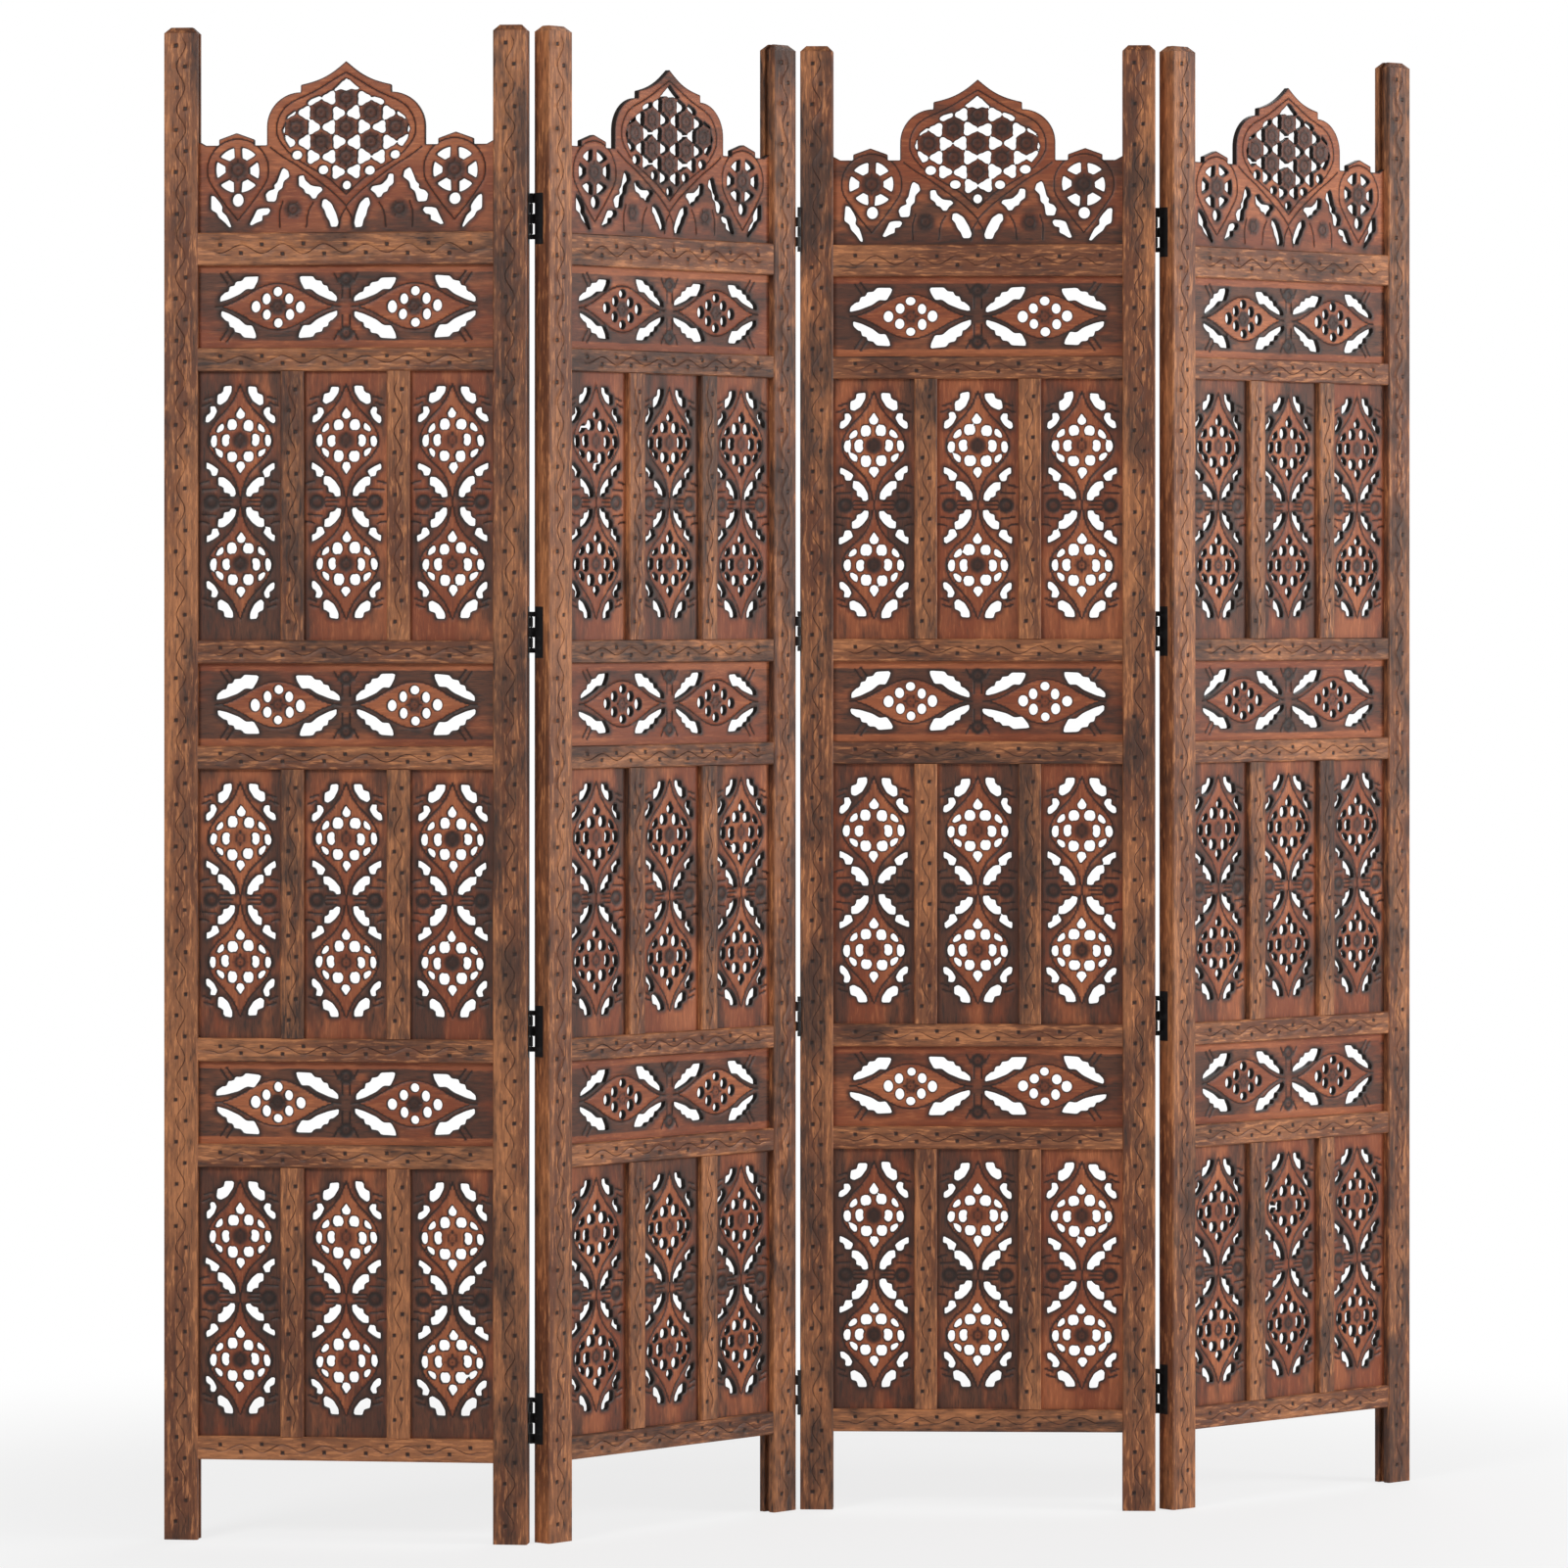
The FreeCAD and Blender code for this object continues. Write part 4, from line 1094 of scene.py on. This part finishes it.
class BoardOperator(CarvingOperator):
    """What the operators of the boards share: their nodes, the directions that tell their boards
    apart, the motif, the grid and which way the grain runs. A board's upper and lower edges reach
    a little into the rails, so that no light comes through between."""

    def build(self, panel, carving):
        reach = np.array([0, BOARD_REACH])
        for node in self.nodes:
            parts = []
            for low, high in panel.solids(node, *self.directions):
                seed = int(panel.number * 1e5 + low[2] * 1e4 + low[0] * 1e3) + 7
                random = np.random.default_rng(seed)
                motif = self.motif(carving, random, (high[2] - low[2]) / 2)
                part = pierced_board(low[[0, 2]] - reach, high[[0, 2]] + reach, high[1] - low[1],
                                     motif, getattr(carving, self.grid), carving, random,
                                     self.grain)
                part.smoke_and_shade = part.smoke_and_shade + random.normal(0, 0.05)
                parts.append(placed(part, panel, (0, (low[1] + high[1]) / 2, 0)))
            stand_in(panel, "pierced", node, join(parts), "board_wood")


class SCREEN_OT_tall_boards(BoardOperator, bpy.types.Operator):
    """The tall boards, with two medallions each"""
    bl_idname = "screen.tall_boards"
    bl_label = "Tall boards"
    nodes = ["tall_boards_%d" % tier for tier in TIERS]
    directions = (0,)
    motif = TallMotif
    grid = "board_grid"
    grain = [2, 0, 1]


class SCREEN_OT_frieze_boards(BoardOperator, bpy.types.Operator):
    """The frieze boards, with two eyes each"""
    bl_idname = "screen.frieze_boards"
    bl_label = "Frieze boards"
    nodes = ["frieze_boards"]
    directions = (2,)
    motif = FriezeMotif
    grid = "frieze_grid"
    grain = [0, 2, 1]


class SCREEN_OT_crests(BoardOperator, bpy.types.Operator):
    """The crest boards, with gables, lobes and an ogee"""
    bl_idname = "screen.crests"
    bl_label = "Crest boards"
    nodes = ["crest_board"]
    directions = ()
    motif = CrestMotif
    grid = "crest_grid"
    grain = [0, 2, 1]


def screw_head(radius, height):
    """A domed head with a cross slot: rings of 12 points at height * (1 - (r / radius) ** 2),
    sunk along four of the twelve directions, on a flat base."""
    share = np.array([1.0, 0.85, 0.5, 0.15])
    turns = np.arange(12) * math.pi / 6
    x, y = (share[:, None] * radius * wave for wave in (np.cos(turns), np.sin(turns)))
    z = height * (1 - share[:, None] ** 2) * np.ones(12)
    z[1:, ::3] -= height * 0.7 * (1 - share[1:, None] ** 2)
    points = np.stack([x.ravel(), y.ravel(), z.ravel()], axis=1)
    quads, index = tube(len(share), len(turns))
    zero = np.zeros(len(points))
    return Part(points, [quads, index[-1:], index[:1, ::-1]], points, zero, zero)


class SCREEN_OT_hinges(CarvingOperator, bpy.types.Operator):
    """The black paint of the hinges, and the three screws that hold each leaf"""
    bl_idname = "screen.hinges"
    bl_label = "Hinges"

    def build(self, panel, carving):
        for hand, way in (("left", -1), ("right", 1)):
            hinges = panel.hinges(hand)
            if not hinges:
                continue
            name, spans, side = hinges
            dress(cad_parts[name + "_leaves"], "hinge_paint")
            low, high = panel.solids("post_" + hand)[0]
            face = (low, high)[hand == "right"][0]
            inward = (high[1] - low[1]) / 2 - MORTISE_WIDTH / 2
            heads = []
            for bottom, top in spans:
                for share in SCREW_SHARES:
                    head = screw_head(carving.screw_radius, SCREW_HEIGHT)
                    out = side * (inward + (share == 0.5) * SCREW_STAGGER)
                    place = [face, out, bottom + share * (top - bottom)]
                    head.points = panel.world(head.points[:, [2, 1, 0]] * [way, 1, -way] + place)
                    heads.append(head)
            make_piece(name + "_screws", join(heads), panel.body, "hinge_paint")


class SCREEN_OT_hidden_wood(CarvingOperator, bpy.types.Operator):
    """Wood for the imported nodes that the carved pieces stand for"""
    bl_idname = "screen.hidden_wood"
    bl_label = "Wood of the packed nodes"

    def build(self, panel, carving):
        for name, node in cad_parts.items():
            if name.startswith(panel.body):
                dress(node, "board_wood" if "board" in name else "frame_wood")


# Name, place, size in metres and power in watts of each lamp, and the point that all aim at
LAMPS = (("key", (-2.6, -4.2, 3.4), 1.6, 95), ("fill", (3.4, -3.6, 2.0), 2.6, 22),
         ("rim", (1.0, 3.0, 3.2), 2.2, 40), ("side", (4.4, -1.0, 1.8), 1.8, 88))
AIM = (0, 0, 0.85)
WHITE = (1, 1, 1, 1)
FLOOR_WHITE = (0.9, 0.9, 0.9, 1)
AMBIENT = 0.22


def add_floor():
    """A pale floor that looks white to the camera away from the screen's shadow."""
    bpy.ops.mesh.primitive_plane_add(size=60)
    floor = bpy.context.object
    floor.name = "floor"
    tree, principled = surface("floor_white")
    principled.inputs["Base Color"].default_value = FLOOR_WHITE
    principled.inputs["Roughness"].default_value = 0.9
    place = shader(tree, "TexCoord").outputs["Object"]
    far = shader(tree, "VectorMath", {0: place}, operation="LENGTH").outputs["Value"]
    near_white = weighted(tree, (spread(tree, far, 0.7, 1.8), 0.25), (1.0, 0.75))
    seen = shader(tree, "LightPath").outputs["Is Camera Ray"]
    share = shader(tree, "Math", {0: near_white, 1: seen}, operation="MULTIPLY")
    white = shader(tree, "Emission", {"Color": WHITE, "Strength": 1.0})
    mix = shader(tree, "MixShader", {0: share.outputs[0], 1: principled.outputs[0],
                                     2: white.outputs[0]})
    tree.links.new(mix.outputs[0], tree.nodes["Material Output"].inputs["Surface"])
    floor.data.materials.append(bpy.data.materials["floor_white"])


def add_lamps(scene):
    """Four soft lamps, all aimed at the middle of the screen."""
    for name, place, size, power in LAMPS:
        data = bpy.data.lights.new(name, "AREA")
        data.size, data.energy = size, power
        lamp = bpy.data.objects.new(name, data)
        lamp.location = place
        aim = np.array(AIM) - np.array(place)
        yaw, pitch = math.atan2(-aim[0], aim[1]), math.atan2(math.hypot(*aim[:2]), -aim[2])
        lamp.rotation_euler = (pitch, 0, yaw)
        scene.collection.objects.link(lamp)


def add_world(scene):
    """Faint white light from all sides, and a white background for the camera."""
    scene.world = bpy.data.worlds.new("studio")
    scene.world.use_nodes = True
    tree = scene.world.node_tree
    ambient = tree.nodes["Background"]
    ambient.inputs["Color"].default_value = WHITE
    ambient.inputs["Strength"].default_value = AMBIENT
    white = shader(tree, "Background", {"Color": WHITE, "Strength": 1.0})
    seen = shader(tree, "LightPath").outputs["Is Camera Ray"]
    mix = shader(tree, "MixShader", {0: seen, 1: ambient.outputs[0], 2: white.outputs[0]})
    tree.links.new(mix.outputs[0], tree.nodes["World Output"].inputs["Surface"])


def add_camera(scene):
    """The camera of the photograph: level, in front, with its lens shifted."""
    stage = scene.screen_stage
    camera = bpy.data.objects.new("camera", bpy.data.cameras.new("camera"))
    camera.data.lens, camera.data.sensor_width = stage.lens, 36
    camera.data.shift_y = stage.shift
    camera.data.clip_end = 100
    camera.location = (-stage.camera_left, -stage.camera_distance, stage.camera_height)
    camera.rotation_euler = (math.pi / 2, 0, 0)
    scene.collection.objects.link(camera)
    scene.camera = camera


class SCREEN_OT_stage(bpy.types.Operator):
    """The floor, the lights, the white surroundings and the camera"""
    bl_idname = "screen.stage"
    bl_label = "Stage"
    bl_options = {"REGISTER", "UNDO"}

    def execute(self, context):
        add_floor()
        add_lamps(context.scene)
        add_world(context.scene)
        add_camera(context.scene)
        context.scene.view_settings.view_transform = "Standard"
        return {"FINISHED"}


OPERATORS = (SCREEN_OT_posts, SCREEN_OT_rails, SCREEN_OT_mullions, SCREEN_OT_tall_boards,
             SCREEN_OT_frieze_boards, SCREEN_OT_crests, SCREEN_OT_hinges, SCREEN_OT_hidden_wood,
             SCREEN_OT_stage)


class SCREEN_PT_panel(bpy.types.Panel):
    """Lists the operators and the sizes"""
    bl_idname = "SCREEN_PT_panel"
    bl_label = "Folding screen"
    bl_space_type = "VIEW_3D"
    bl_region_type = "UI"
    bl_category = "Screen"

    def draw(self, context):
        for operator in OPERATORS:
            self.layout.operator(operator.bl_idname)
        for kept in GROUPS:
            group = getattr(context.scene, kept)
            for name in group.bl_rna.properties.keys():
                if name not in ("rna_type", "name"):
                    self.layout.prop(group, name)


GROUPS = {"screen_carving": ScreenCarving, "screen_finish": ScreenFinish,
          "screen_stage": ScreenStage}
CLASSES = (*GROUPS.values(), *OPERATORS, SCREEN_PT_panel)


def register():
    for item in CLASSES:
        bpy.utils.register_class(item)
    for name, group in GROUPS.items():
        setattr(bpy.types.Scene, name, PointerProperty(type=group))


def unregister():
    for name in GROUPS:
        delattr(bpy.types.Scene, name)
    for item in reversed(CLASSES):
        bpy.utils.unregister_class(item)


def main():
    """Builds the screen and its stage."""
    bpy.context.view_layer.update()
    register()
    for operator in OPERATORS:
        group, name = operator.bl_idname.split(".")
        getattr(getattr(bpy.ops, group), name)()


if __name__ == "__main__":
    main()
